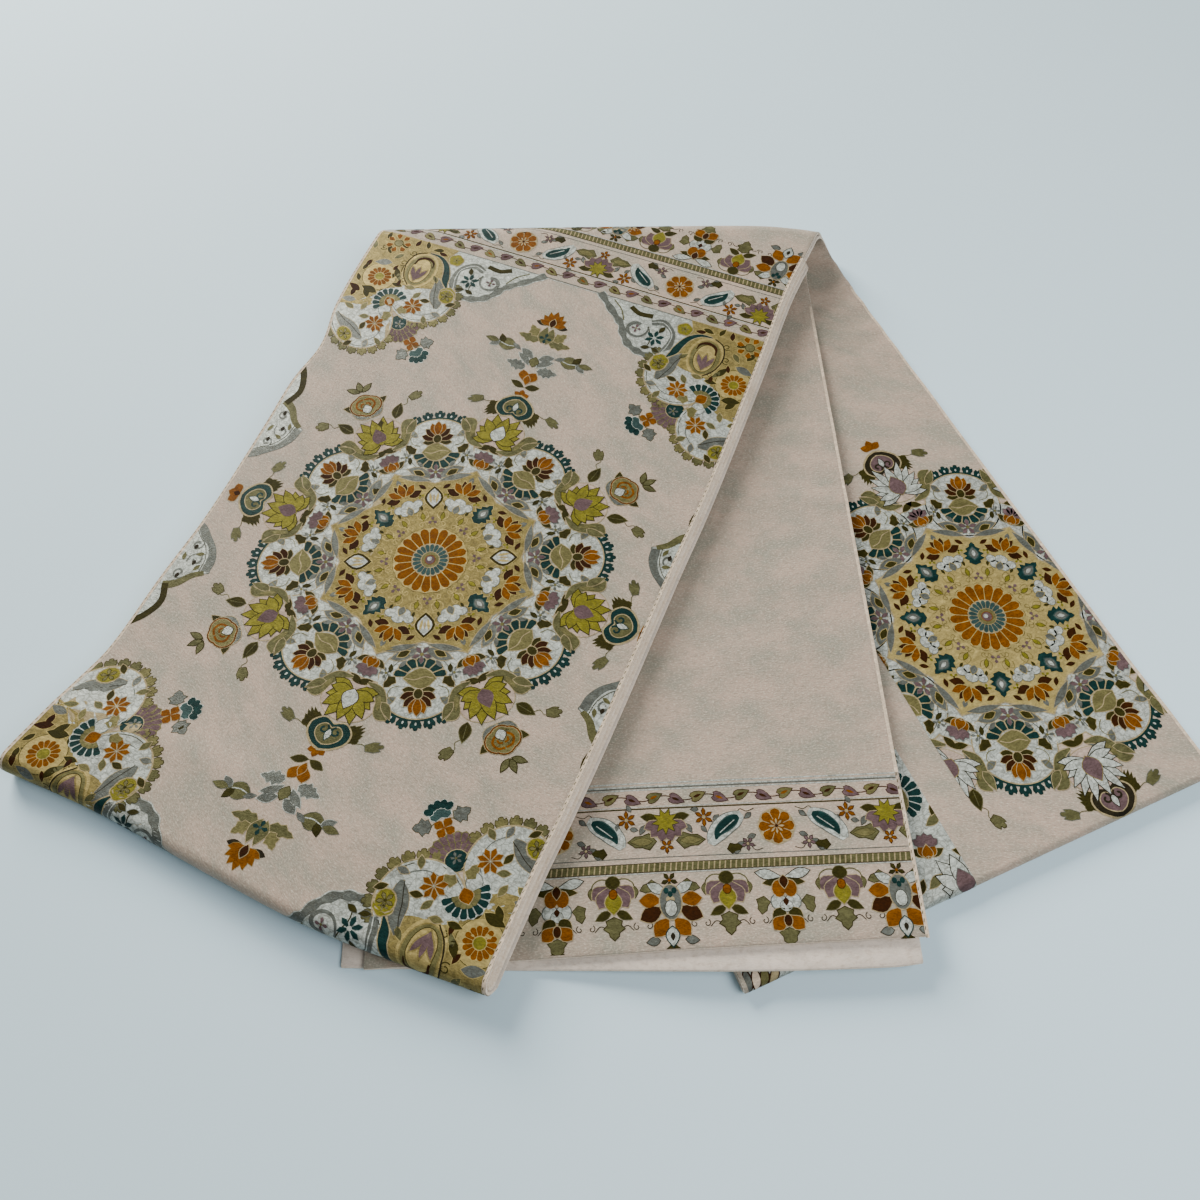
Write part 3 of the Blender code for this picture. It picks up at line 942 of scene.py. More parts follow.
@dataclass
class LeftPanel(Panel):
    """Run 4, the near roll, run 1 with its face up and the outer loop, down to the floor."""

    name: str = "left_panel"
    cut_length: float = 1.12

    def rows(self) -> tuple[Points, float]:
        """Give the left panel's rows."""
        fan, face = self.fan, LeftFace(self.fan)
        inner = fan.left_reach(4, fan.inner_line)

        def below(share: Array, step: Array) -> Points:
            """Give run 4, from the roll to the inner loop."""
            near, far = fan.left_roll.read(share, 1), inner(share) - fan.seam_gap
            return fan.left_place(4, share, near + (far - near) * step)

        def above(share: Array, step: Array) -> Points:
            """Give run 1, from the roll to the outer loop."""
            near = fan.left_roll.read(share, 1)
            return face.middle(share, near + (face.far(share) - near) * step)

        under = self.grid(below, (1, 0.12, 34), (0.12, 0, 10))[:-1]
        roll = self.grid(lambda share, turn: fan.roll_under(4, 1, share, turn),
                         (0, np.pi, 26))[:-1]
        run = self.grid(above, (0, 0.16, 30), (0.16, 1, 104))[:-1]
        loop = self.grid(lambda share, turn: fan.turn_over(*face.loop_ends(share), turn),
                         (0, np.pi, 40))
        tail = self.grid(lambda share, back: fan.floor_place(share, face.landing(share) - back),
                         (0, fan.loop_tail, 8))[1:]
        before = np.linalg.norm(np.diff(np.concatenate([under, roll, run[:1]]), axis=0), axis=-1)
        start = float(np.mean(fan.left_roll.read(self.shares, 1) - before.sum(axis=0)))
        return np.concatenate([under, roll, run, loop, tail]), start


@dataclass
class HiddenLayers(Panel):
    """Runs 2 and 3, which show only at their edges, with their roll and the loop to run 6."""

    name: str = "hidden_layers"
    slot: str = "plain_cloth"
    upper: ClothFinish = SELVEDGE
    lower: ClothFinish = SELVEDGE
    cut_length: float = 1.10

    def rows(self) -> tuple[Points, float]:
        """Give the rows of the hidden layers."""
        fan = self.fan
        top_end, low_end = (fan.left_reach(run, fan.inner_line) for run in (2, 3))
        under_end = fan.reach(fan.under_plan, fan.inner_line)

        def upper_run(share: Array, step: Array) -> Points:
            """Give run 2, from its roll to the inner loops."""
            near, far = fan.left_roll.read(share, 1), top_end(share) - fan.seam_gap
            return fan.left_place(2, share, near + (far - near) * step)

        def lower_run(share: Array, step: Array) -> Points:
            """Give run 3, from its roll to the inner loops."""
            near = fan.left_roll.read(share, 1)
            return fan.left_place(3, share, near + (low_end(share) - near) * step)

        def turned(share: Array, turn: Array) -> Points:
            """Give the loop to run 6."""
            return fan.turn_over(fan.left_place(3, share, low_end(share)),
                                 fan.under_place(share, under_end(share)), turn)

        stretches = (0, 0.12, 10), (0.12, 1, 34)
        return np.concatenate([
            self.grid(upper_run, *stretches)[::-1],
            self.grid(lambda share, turn: fan.roll_under(3, 2, share, turn), (np.pi, 0, 20))[1:-1],
            self.grid(lower_run, *stretches), self.grid(turned, (0, np.pi, 24))[1:]]), 0


@dataclass
class RightPanel(Panel):
    """The loop from run 2, run 7 with its face up, its near roll and run 8 on the floor."""

    name: str = "right_panel"
    upper: ClothFinish = PLAIN_BACK
    lower: ClothFinish = BROCADE_GROUND
    cut_length: float = 0.99
    sense: int = -1

    def rows(self) -> tuple[Points, float]:
        """Give the right panel's rows."""
        fan, face = self.fan, RightFace(self.fan)
        inner, near = fan.left_reach(2, fan.inner_line), fan.right_roll

        def stub(share: Array, step: Array) -> Points:
            """Give run 2's far end."""
            return fan.left_place(2, share, inner(share) + (face.above(share) - inner(share)) * step)

        def run(share: Array, step: Array) -> Points:
            """Give run 7."""
            return face.middle(share, near + (face.far(share) - near) * step)

        def roll(share: Array, turn: Array) -> Points:
            """Give the near roll."""
            return face.middle(share, near - turn * (fan.right_roll_radius + fan.thickness / 2))

        def floor(share: Array, step: Array) -> Points:
            """Give run 8."""
            far = face.far(share) - fan.loop_tail - fan.seam_gap
            return fan.floor_place(share, near + (far - near) * step)

        return np.concatenate([
            self.grid(stub, (0, 1, 7))[:-1],
            self.grid(lambda share, turn: fan.turn_over(*face.loop_ends(share), turn),
                      (0, np.pi, 36))[:-1],
            self.grid(run, (1, 0.6, 76), (0.6, 0.06, 60), (0.06, 0, 12))[:-1],
            self.grid(roll, (0, np.pi, 20))[:-1], self.grid(floor, (0, 1, 30))]), 0


@dataclass
class MiddlePanel(Panel):
    """Run 5, face up, from the sash's one end to the innermost loop, which meets run 4."""

    name: str = "middle_panel"
    cut_length: float = 0.53

    def rows(self) -> tuple[Points, float]:
        """Give the middle panel's rows."""
        fan, face = self.fan, MiddleFace(self.fan)
        far_end = fan.reach(fan.middle_plan, fan.inner_line)
        top_end = fan.left_reach(4, fan.inner_line)

        def run(share: Array, step: Array) -> Points:
            """Give run 5."""
            near = fan.middle_near - fan.middle_slant * (1 - share)
            return face.middle(share, near + (far_end(share) - near) * step)

        def turned(share: Array, turn: Array) -> Points:
            """Give the innermost loop."""
            return fan.turn_over(run(share, np.ones_like(share)),
                                 fan.left_place(4, share, top_end(share)), turn)

        return np.concatenate([self.grid(run, (0, 1, 110)),
                               self.grid(turned, (0, np.pi, 14))[1:]]), fan.middle_near


@dataclass
class MiddleUnderPanel(Panel):
    """Run 6, back up, from the sash's other end to the loop of the hidden layers."""

    name: str = "middle_under_panel"
    slot: str = "plain_cloth"
    upper: ClothFinish = PLAIN_BACK
    cut_length: float = 0.54

    def rows(self) -> tuple[Points, float]:
        """Give the rows of the panel under the middle one."""
        fan = self.fan
        far_end = fan.reach(fan.under_plan, fan.inner_line)

        def run(share: Array, step: Array) -> Points:
            """Give run 6."""
            near, far = fan.under_end.read(1 - share, 1), far_end(share) - fan.seam_gap
            return fan.under_place(share, near + (far - near) * step)

        return self.grid(run, (0, 1, 100)), 0


# ------------------------------------------------------------------ drawing on the flat cloth
def disc(width: float, height: float | None = None, points: int = 14) -> Array:
    """Outline of a disc or an oval, by its full width and height."""
    height = width if height is None else height
    turn = np.linspace(0, 2 * np.pi, points, endpoint=False)
    return width / 2 * np.cos(turn) + 1j * height / 2 * np.sin(turn)


def leaf(length: float, width: float, belly: float = 0.45, bend: float = 0.0,
         points: int = 7) -> Array:
    """Outline of a pointed leaf that grows from the origin.

    Args:
        length: length of the leaf.
        width: its full width.
        belly: where along it the leaf is widest.
        bend: how far its tip leans to the right.
        points: how many points lie on each side.

    Returns:
        The outline.
    """
    along = np.linspace(0, 1, points)
    half = width / 2 * np.sin(np.pi * along ** (np.log(0.5) / np.log(belly)))
    spine = bend * along ** 2 + 1j * length * along
    return np.concatenate([spine + half, (spine - half)[-2:0:-1]])


def toothed(length: float, width: float, teeth: int = 3, bend: float = 0.0) -> Array:
    """Outline of a leaf with teeth along both sides."""
    along = np.linspace(0, 1, 2 * teeth + 3)
    swell = np.sin(np.pi * np.clip(along, 0, 1) ** 0.75)
    notch = np.where(np.arange(len(along)) % 2 == 1, 1.18, 0.74)
    notch[0] = notch[-1] = 1
    spine = bend * along ** 2 + 1j * length * along
    half = width / 2 * swell * notch
    return np.concatenate([spine + half, (spine - half)[-2:0:-1]])


def heart_leaf(length: float, width: float) -> Array:
    """Outline of a heart-shaped leaf with its tip outwards."""
    side = np.array([0 + 0.1j, 0.28 - 0.02j, 0.48 + 0.12j, 0.5 + 0.36j, 0.34 + 0.66j,
                     0.12 + 0.88j, 0 + 1j])
    both = np.concatenate([side, -np.conj(side[-2:0:-1])])
    return both.real * width + 1j * both.imag * length


def crown(width: float, height: float) -> Array:
    """Outline of a petal with three rounded tips that stands on the origin."""
    side = np.concatenate([[0.3 + 0j], curve(0.5 + 0.45j, 0.42 + 0.8j, 0.22 + 0.7j, 0.16 + 0.94j,
                                              0 + 1j, steps=2)])
    side = side.real * width + 1j * side.imag * height
    return np.concatenate([side, -side.real[-2::-1] + 1j * side.imag[-2::-1]])


def kidney(width: float, height: float) -> Array:
    """Outline of a round heart whose lobes lie by the origin and whose tip points outwards."""
    side = curve(0.1j, 0.26 - 0.03j, 0.48 + 0.22j, 0.46 + 0.58j, 0.24 + 0.88j, 1j, steps=4)
    side = side.real * width + 1j * side.imag * height
    return np.concatenate([side, -side.real[-2:0:-1] + 1j * side.imag[-2:0:-1]])


def star(radius: float, notch: float, tips: int) -> Array:
    """Outline of a star with its first tip outwards."""
    turn = np.arange(2 * tips) * np.pi / tips
    reach = np.where(np.arange(2 * tips) % 2 == 0, radius, notch)
    return 1j * reach * np.exp(-1j * turn)


def scallops(radius: float, depth: float, lobes: int, points: int = 5) -> Array:
    """Outline of a round shape with so many lobes."""
    turn = np.linspace(0, 2 * np.pi, lobes * points, endpoint=False)
    wave = np.abs(np.cos(turn * lobes / 2)) ** 0.6
    return 1j * (radius - depth * (1 - wave)) * np.exp(-1j * turn)


def curve(*knots: complex, steps: int = 6) -> Array:
    """Smooth path through a few knots."""
    points = np.asarray(knots, complex)
    padded = np.concatenate([[2 * points[0] - points[1]], points, [2 * points[-1] - points[-2]]])
    share = np.linspace(0, 1, steps, endpoint=False)
    parts = []
    for a, b, c, d in zip(padded, padded[1:], padded[2:], padded[3:]):
        parts.append(0.5 * (2 * b + (c - a) * share + (2 * a - 5 * b + 4 * c - d) * share ** 2
                            + (3 * b - a - 3 * c + d) * share ** 3))
    return np.concatenate(parts + [points[-1:]])


def spiral(radius: float, turns: float, end_radius: float, start: float = 0.0,
           points: int = 26) -> Array:
    """Path that winds inwards, clockwise, from a radius to a smaller one."""
    share = np.linspace(0, 1, points)
    reach = radius + (end_radius - radius) * share ** 0.85
    return 1j * reach * np.exp(-1j * (np.radians(start) + 2 * np.pi * turns * share))


def grown(outline: Array, by: float) -> Array:
    """Move an outline out by a width.

    Args:
        outline: closed outline.
        by: how far to move it.

    Returns:
        The moved outline.
    """
    edge = np.roll(outline, -1) - outline
    area = np.sum(outline.real * np.roll(outline, -1).imag
                  - np.roll(outline, -1).real * outline.imag)
    outward = -1j * edge / np.maximum(np.abs(edge), 1e-9) * np.sign(area)
    mean = outward + np.roll(outward, 1)
    size = np.abs(mean)
    mean = mean / np.maximum(size, 1e-9)
    reach = by / np.maximum(size / 2, 0.55)
    return outline + mean * reach


class Drawing:
    """Closed outlines on the flat cloth, in millimetres: v to the right, u to the far end.

    Attributes:
        across: longest step across the cloth.
        lift: height of the lowest threads above the cloth.
        step: height of each further level.
    """

    across = 12
    lift = 0.05
    step = 0.02

    def __init__(self) -> None:
        """Start with nothing drawn."""
        self.shape = bmesh.new()

    def fill(self, outline: Array, ink: Ink, level: int) -> None:
        """Fill an outline with a thread.

        Args:
            outline: closed outline on the cloth.
            ink: the thread.
            level: what it lies on, counted up from the ground.
        """
        corners = [self.shape.verts.new((p.real, p.imag, level)) for p in outline]
        self.shape.faces.new(corners).material_index = INKS.index(ink)

    def band(self, first: Array, second: Array, ink: Ink, level: int, closed: bool = False) -> None:
        """Fill the band between two paths of as many points.

        Args:
            first: path on one side.
            second: path on the other side.
            ink: the thread.
            level: what it lies on.
            closed: whether the paths are rings.
        """
        one, other = [[self.shape.verts.new((p.real, p.imag, level)) for p in path]
                      for path in (first, second)]
        count = len(first)
        for index in range(count if closed else count - 1):
            after = (index + 1) % count
            face = self.shape.faces.new((one[index], one[after], other[after], other[index]))
            face.material_index = INKS.index(ink)

    def join(self, other: "Drawing") -> None:
        """Take over what is drawn in another drawing."""
        mesh = bpy.data.meshes.new("joined")
        other.shape.to_mesh(mesh)
        other.shape.free()
        self.shape.from_mesh(mesh)
        bpy.data.meshes.remove(mesh)

    def stretch(self, across: float, along: float, about: complex) -> None:
        """Stretch all that is drawn, about a point."""
        for vertex in self.shape.verts:
            vertex.co.x = about.real + (vertex.co.x - about.real) * across
            vertex.co.y = about.imag + (vertex.co.y - about.imag) * along

    def cut_to_triangles(self) -> None:
        """Turn all faces into triangles, with fresh normals so that none is cut wrongly."""
        self.shape.normal_update()
        bmesh.ops.triangulate(self.shape, faces=self.shape.faces[:])

    def trim(self, low: float, high: float, axis: int = 0) -> None:
        """Cut away what lies outside two limits across (axis 0) or along (axis 1) the cloth."""
        self.cut_to_triangles()
        for limit, side in ((low, -1), (high, 1)):
            place, normal = [0] * 3, [0] * 3
            place[axis], normal[axis] = limit, side
            bmesh.ops.bisect_plane(
                self.shape, geom=self.shape.verts[:] + self.shape.edges[:] + self.shape.faces[:],
                plane_co=place, plane_no=normal, clear_outer=True)

    def split_long(self, limits: Sequence[float], longest: Sequence[float]) -> None:
        """Split edges that are too long to follow the bends of the cloth.

        Args:
            limits: places along the cloth at which the longest step changes.
            longest: the longest step along the cloth before, between and after them.
        """
        self.cut_to_triangles()
        for _ in range(7):
            ends = np.array([(*e.verts[0].co[:2], *e.verts[1].co[:2]) for e in self.shape.edges])
            places = (ends[:, 1], ends[:, 3], (ends[:, 1] + ends[:, 3]) / 2)
            limit = np.min([np.take(longest, np.searchsorted(limits, place, side="right"))
                            for place in places], axis=0)
            long = (np.abs(ends[:, 1] - ends[:, 3]) > limit) | (
                np.abs(ends[:, 0] - ends[:, 2]) > self.across)
            if not long.any():
                break
            edges = [edge for edge, split in zip(self.shape.edges[:], long) if split]
            bmesh.ops.subdivide_edges(self.shape, edges=edges, cuts=1)
            bmesh.ops.triangulate(self.shape, faces=[
                face for face in self.shape.faces if len(face.verts) > 3])

    def weave(self, name: str, face: Face, limits: Sequence[float],
              longest: Sequence[float]) -> Piece:
        """Lay the drawing on the cloth.

        Args:
            name: name of the piece.
            face: face of the cloth that it lies on.
            limits: places along the cloth at which the longest step changes.
            longest: the longest step along the cloth before, between and after them.

        Returns:
            The pattern's piece.
        """
        self.split_long(limits, longest)
        shape = self.shape
        shape.normal_update()
        bmesh.ops.reverse_faces(shape, faces=[f for f in shape.faces if f.normal.z < 0])
        uv = shape.loops.layers.uv.new("flat")
        for part in shape.faces:
            for loop in part.loops:
                loop[uv].uv = (loop.vert.co.x * MM, loop.vert.co.y * MM)
        mesh = bpy.data.meshes.new(name)
        shape.to_mesh(mesh)
        shape.free()
        flat = np.empty(len(mesh.vertices) * 3)
        mesh.vertices.foreach_get("co", flat)
        flat = flat.reshape(-1, 3)
        share = flat[:, 0] * MM / face.fan.width + 0.5
        lift = (self.lift + self.step * flat[:, 2]) * MM
        placed = face.lifted(share, flat[:, 1] * MM, lift) + np.array([*face.fan.shift, 0])
        mesh.vertices.foreach_set("co", placed.ravel())
        mesh.update()
        for ink in INKS:
            mesh.materials.append(thread_material(ink))
        piece = in_scene(name, mesh)
        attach(piece, "root")
        LOG.info("%s: %d triangles", name, len(mesh.polygons))
        return piece


@dataclass(frozen=True)
class Pen:
    """Draws in its own axes, with y outwards, at a place on the flat cloth.

    Attributes:
        drawing: what it draws on.
        origin: place of its own origin on the cloth.
        turn: its turn as a complex factor.
        mirrored: whether its left and right are swapped.
    """

    drawing: Drawing
    origin: complex = 0j
    turn: complex = 1 + 0j
    mirrored: bool = False

    def at(self, x: float, y: float, turn: float = 0.0, mirrored: bool = False) -> "Pen":
        """Give a pen at a place in this pen's axes.

        Args:
            x: place to the right.
            y: place outwards.
            turn: clockwise turn, in degrees.
            mirrored: whether to swap its left and right.

        Returns:
            The new pen.
        """
        factor = np.exp(-1j * np.radians(turn))
        if self.mirrored:
            factor = np.conj(factor)
        return Pen(self.drawing, complex(self.on_cloth(np.array([x + 1j * y]))[0]),
                   complex(self.turn * factor), self.mirrored != mirrored)

    def on_cloth(self, places: Array) -> Array:
        """Take places from this pen's axes to the cloth."""
        return self.origin + self.turn * (-np.conj(places) if self.mirrored else places)

    def ring(self, radius: float, count: int, start: float = 0.0) -> Iterable["Pen"]:
        """Give pens evenly round a circle, each facing outwards."""
        for index in range(count):
            angle = start + 360 * index / count
            point = 1j * radius * np.exp(-1j * np.radians(angle))
            yield self.at(point.real, point.imag, angle)

    def both(self) -> tuple["Pen", "Pen"]:
        """Give this pen and its mirror image."""
        return self, self.at(0, 0, mirrored=True)

    def fill(self, outline: Array, ink: Ink, level: int, edge: Ink | None = None,
             width: float = 0.55) -> None:
        """Fill an outline, with a line of another thread round it.

        Args:
            outline: closed outline in this pen's axes.
            ink: thread that fills it.
            level: what it lies on.
            edge: thread of the line round it.
            width: width of that line.
        """
        if edge is not None:
            self.drawing.fill(self.on_cloth(grown(outline, width)), edge, level)
        self.drawing.fill(self.on_cloth(outline), ink, level + 1)

    def put(self, *rows: tuple) -> None:
        """Fill outlines at places in this pen's axes.

        Args:
            rows: x, y and turn of a place, and then what fill takes.
        """
        for x, y, turn, *shape in rows:
            self.at(x, y, turn).fill(*shape)

    def twice(self, *rows: tuple) -> None:
        """Fill outlines as put does, and their mirror images."""
        for half in self.both():
            half.put(*rows)

    def line(self, path: Array, width: float | Array, ink: Ink, level: int) -> None:
        """Draw a line along a path.

        Args:
            path: points of the path.
            width: width of the line, or its width at each point.
            ink: the thread.
            level: what it lies on.
        """
        along = np.gradient(path)
        side = 1j * along / np.maximum(np.abs(along), 1e-9) * np.asarray(width) / 2
        self.drawing.band(self.on_cloth(path + side), self.on_cloth(path - side), ink, level)

    def hoop(self, outer: Array, width: float, ink: Ink, level: int) -> None:
        """Draw a line just inside a closed outline."""
        self.drawing.band(self.on_cloth(outer), self.on_cloth(grown(outer, -width)), ink, level,
                          closed=True)


# ------------------------------------------------------------------ motifs
def rosette(pen: Pen, petals: int, inner: float, outer: float, ink: Ink, edge: Ink, level: int) -> None:
    """Draw a ring of rounded petals.

    Args:
        pen: where to draw.
        petals: how many petals there are.
        inner: radius at which they start.
        outer: radius at which they end.
        ink: thread of the petals.
        edge: thread of the lines between them.
        level: what the ring lies on.
    """
    step = np.pi / petals
    pen.fill(scallops(outer + 0.5, (outer - inner) * 0.1, petals), edge, level)
    depth = outer - inner
    reach = np.array([inner, inner + 0.35 * depth, outer - 0.3 * depth, outer - 0.1 * depth, outer,
        outer - 0.1 * depth, outer - 0.3 * depth, inner + 0.35 * depth, inner])
    swing = np.array([-0.8, -0.9, -0.92, -0.62, 0, 0.62, 0.92, 0.9, 0.8]) * step
    for index in range(petals):
        turn = swing + 2 * step * index
        pen.fill(1j * reach * np.exp(-1j * turn), ink, level + 1)


def half_fan(pen: Pen, petals: int, inner: float, outer: float, spread_angle: float, ink: Ink,
             edge: Ink, level: int, squash: float = 1.0) -> None:
    """Draw petals in a fan, outwards from the pen's origin.

    Args:
        pen: where to draw.
        petals: how many petals there are.
        inner: radius at which they start.
        outer: radius at which they end.
        spread_angle: angle between the fan's two sides, in degrees.
        ink: thread of the petals.
        edge: thread of the lines between them.
        level: what the fan lies on.
        squash: height of the fan compared with its width.
    """
    half = np.radians(spread_angle) / 2
    turns = np.linspace(-half, half, 2 * petals + 1)
    rim = outer * np.where(np.arange(len(turns)) % 2 == 1, 1.05, 0.98)
    back = (inner * 0.92) * np.exp(-1j * turns[::-1])
    sector = 1j * np.concatenate([rim * np.exp(-1j * turns), back])
    pen.fill(sector.real + 1j * sector.imag * squash, edge, level)
    step = half / petals
    reach = np.array([inner, inner, outer * 0.9, outer * 0.99, outer * 0.99, outer * 0.9])
    swing = np.array([0.82, -0.82, -0.86, -0.52, 0.52, 0.86]) * step
    for index in range(petals):
        turn = swing - half + step * (2 * index + 1)
        petal = 1j * reach * np.exp(-1j * turn)
        pen.fill(petal.real + 1j * petal.imag * squash, ink, level + 1)


def lotus(pen: Pen, width: float, height: float, ink: Ink, edge: Ink, bud: Ink, bud_edge: Ink,
          level: int, rows: int = 5, narrow: float = 0.3) -> None:
    """Draw a lotus seen from the side, its petals open round a bud.

    Args:
        pen: where its foot is; it opens outwards.
        width: full width.
        height: full height.
        ink: thread of the petals.
        edge: thread of the lines round them.
        bud: thread of the bud.
        bud_edge: thread of the line round the bud.
        level: what it lies on.
        rows: how many petals lie on each side.
        narrow: width of a petal compared with the lotus's height.
    """
    angles = np.linspace(106, 22, rows)
    for row, angle in enumerate(angles):
        lean = np.radians(angle)
        reach = np.hypot(width / 2 * np.sin(lean), height * np.cos(lean) * 0.96)
        reach = max(reach, width * 0.36)
        pen.twice(
            (0, height * 0.16, angle, leaf(reach, height * narrow, 0.55, points=5), ink,
             level + 2 * (row % 2), edge))
    pen.at(0, height * 0.12).fill(leaf(height * 0.88, height * (narrow + 0.05), 0.5), ink, level + 4, edge)
    pen.at(0, height * 0.1).fill(leaf(height * 0.58, height * 0.42, 0.42), bud, level + 6, bud_edge, 0.45)


def brown_lotus(pen: Pen, level: int) -> None:
    """Draw an orange lotus held in dark brown petals."""
    pen.twice(
        (0, 2, 98, leaf(10, 4.8, 0.6), OLIVE, level, CREAM, 0.4),
        (0, 2.5, 70, leaf(11.5, 5.4, 0.6), BROWN, level + 2, CREAM, 0.4),
        (0, 3.5, 44, leaf(12, 5, 0.6), BROWN, level + 4, CREAM, 0.4),
        (0, 5, 21, leaf(12.4, 5.4, 0.62), ORANGE, level + 6, CREAM, 0.35))
    pen.at(0, 5).fill(leaf(13.6, 5.4, 0.6), ORANGE, level + 8, CREAM, 0.35)
    pen.at(0, 3.6).fill(disc(5.4, 6.8, 10), OLIVE, level + 10, CREAM, 0.55)


def carnation(pen: Pen, level: int) -> None:
    """Draw a mauve carnation in an orange cup with olive leaves."""
    pen.twice(
        (1, 1, 62, leaf(9.5, 4.4, 0.5), OLIVE, level, CREAM, 0.4),
        (0.5, 0, 30, leaf(8.5, 5, 0.55), ORANGE, level + 2, CREAM, 0.4))
    for angle in (-58, 58, -30, 30, 0):
        pen.at(0, 6.5, angle).fill(leaf(8.4, 4.6, 0.66, points=5), MAUVE, level + 4, GREY, 0.35)
    pen.at(0, 1).fill(heart_leaf(7, 6), ORANGE, level + 6, CREAM, 0.4)


def small_flower(pen: Pen, petals: int, radius: float, ink: Ink, heart: Ink, level: int,
                 edge: Ink | None = None) -> None:
    """Draw a small flower with pointed petals."""
    for petal in pen.ring(radius * 0.12, petals):
        petal.fill(leaf(radius * 0.9, radius * 2.3 / petals, 0.6, points=4), ink, level, edge, 0.35)
    pen.fill(disc(radius * 0.42, points=8), heart, level + 2)


def fleuron(pen: Pen, level: int) -> None:
    """Draw a wide fleuron of orange petals between dark brown ones, under a grey cloud."""
    pen.twice(
        (3, -1, 80, leaf(10, 5.8, 0.45), BROWN, level, GOLD_LIGHT, 0.4),
        (1.5, 0.5, 48, leaf(10.5, 5.4, 0.5), ORANGE, level + 2, GOLD_LIGHT, 0.4),
        (0.8, 3, 22, leaf(8.5, 4, 0.5), BROWN, level + 4, GOLD_LIGHT, 0.4))
    pen.at(0, 0).fill(leaf(11.5, 5.4, 0.5), ORANGE, level + 6, GOLD_LIGHT, 0.4)
    cloud = pen.at(0, -9)
    for x, y, size in ((-6.6, 0.6, 6.4), (6.6, 0.6, 6.4), (-3, -2.4, 6.8), (3, -2.4, 6.8), (0, 2, 8.4)):
        cloud.at(x, y).fill(disc(size, size * 0.86, 10), SILVER, level + 2, GREY, 0.35)
    cloud.at(0, -6.5).fill(leaf(7, 4.6), GREY, level + 4, GOLD_LIGHT, 0.4)


def oval_bud(pen: Pen, ink: Ink, level: int) -> None:
    """Draw an oval bud with a pale eye, in teal or with the look of a gem."""
    if ink is TEAL:
        pen.put(
            (0, 0, 0, toothed(18, 12.5, 4), TEAL, level, GOLD_LIGHT, 0.4),
            (0, 4.6, 0, leaf(9, 6), GREY, level + 2, BLUE, 0.7),
            (0, 6.6, 0, leaf(5, 2.4), SILVER, level + 4))
        return
    pen.fill(leaf(18.5, 13, 0.5), OLIVE, level, GOLD_LIGHT, 0.4)
    pen.at(0, 2.2).fill(leaf(14.4, 9.6, 0.5), SILVER, level + 2, BROWN, 0.5)
    for x, lean in ((-1.7, -8), (1.7, 8)):
        pen.at(x, 4.8, lean).fill(leaf(9, 1.9, 0.5, points=5), GOLD_LIGHT, level + 4)
    pen.at(0, 6.5).fill(leaf(6, 1.8, 0.5, points=5), CREAM, level + 4)


def heart_scroll(pen: Pen, ink: Ink, heart: Ink, level: int) -> None:
    """Draw a round heart with scrolls in it and toothed wings, its tip outwards."""
    for half in pen.both():
        half.at(8.5, 0.5, 52).fill(toothed(12.5, 15.5, 5), OLIVE, level, LEAF, 0.3)
        half.line(curve(18.5 + 8j, 22 + 7j, 25 + 8j), 0.5, LEAF, level)
        half.at(24.5, 8.5, 118).fill(crown(6.6, 11), LEAF, level, GREY, 0.35)
    pen.fill(grown(kidney(26.5, 19.5), 0.9), CREAM, level + 2)
    pen.fill(kidney(26, 19), ink, level + 3, ink, 0.1)
    pen.at(0, 3.2).fill(kidney(16.5, 12.4), heart, level + 5, CREAM, 0.6)
    for half in pen.both():
        half.at(4, 6.4).line(spiral(3.4, 0.95, 0.9, 200, 16), 1.3, ink, level + 7)
    pen.at(0, 5.4).fill(leaf(7.5, 3.6), SILVER, level + 7, ink, 0.5)


def rose(pen: Pen, level: int) -> None:
    """Draw a rose with rimmed petals, side leaves and three leaflets beyond it."""
    for angle in (-50, 0, 50):
        pen.at(0, 21.5, angle).at(0, 1.6).fill(leaf(8.8, 3.8), LEAF, level, OLIVE, 0.6)
    pen.twice(
        (6, 8, 62, leaf(10.5, 5.6), OLIVE, level, CREAM, 0.35),
        (0.5, -1.5, 52, leaf(16, 8.4, 0.5, -3), GREY, level + 2, CREAM, 0.4))
    petals = ((-3.6, 9.6, 15.6), (3.6, 9.6, 15.6), (0, 12.6, 14), (0, 7, 14.6))
    for rim, ink, edge in ((0, BROWN, CREAM), (1.4, ORANGE, ORANGE), (2.6, BEIGE, CREAM)):
        level += 2
        for x, y, size in petals:
            pen.at(x, y).fill(disc(size - rim, points=16), ink, level + 2, edge, 0.3)
    for half in pen.both():
        half.line(curve(0.4 + 15j, 4.6 + 14j, 6.4 + 9.6j, 3.6 + 6.2j, 0.4 + 6.8j), 1.5, ORANGE, level + 4)
        half.line(curve(0.6 + 11.6j, 2.8 + 10.8j, 3.2 + 8.6j), 1.3, ORANGE, level + 4)
    pen.at(0, 2.6).fill(leaf(7.4, 6.4), SILVER, level + 8, BROWN, 0.4)


def sprig(pen: Pen, level: int) -> None:
    """Draw a sprig of an olive leaf and a curled tendril that ends in a bud."""
    pen.fill(leaf(13, 7, 0.42), OLIVE, level, LEAF, 0.5)
    pen.line(np.array([1.5j, 10.5j]), 0.4, LEAF, level + 2)
    pen.line(curve(0.5 + 11j, 4 + 14j, 3 + 18j, 5.5 + 20j), 0.5, LEAF, level)
    pen.at(4.6, 18.5, 40).fill(crown(6.8, 9), LEAF, level, OLIVE, 0.4)


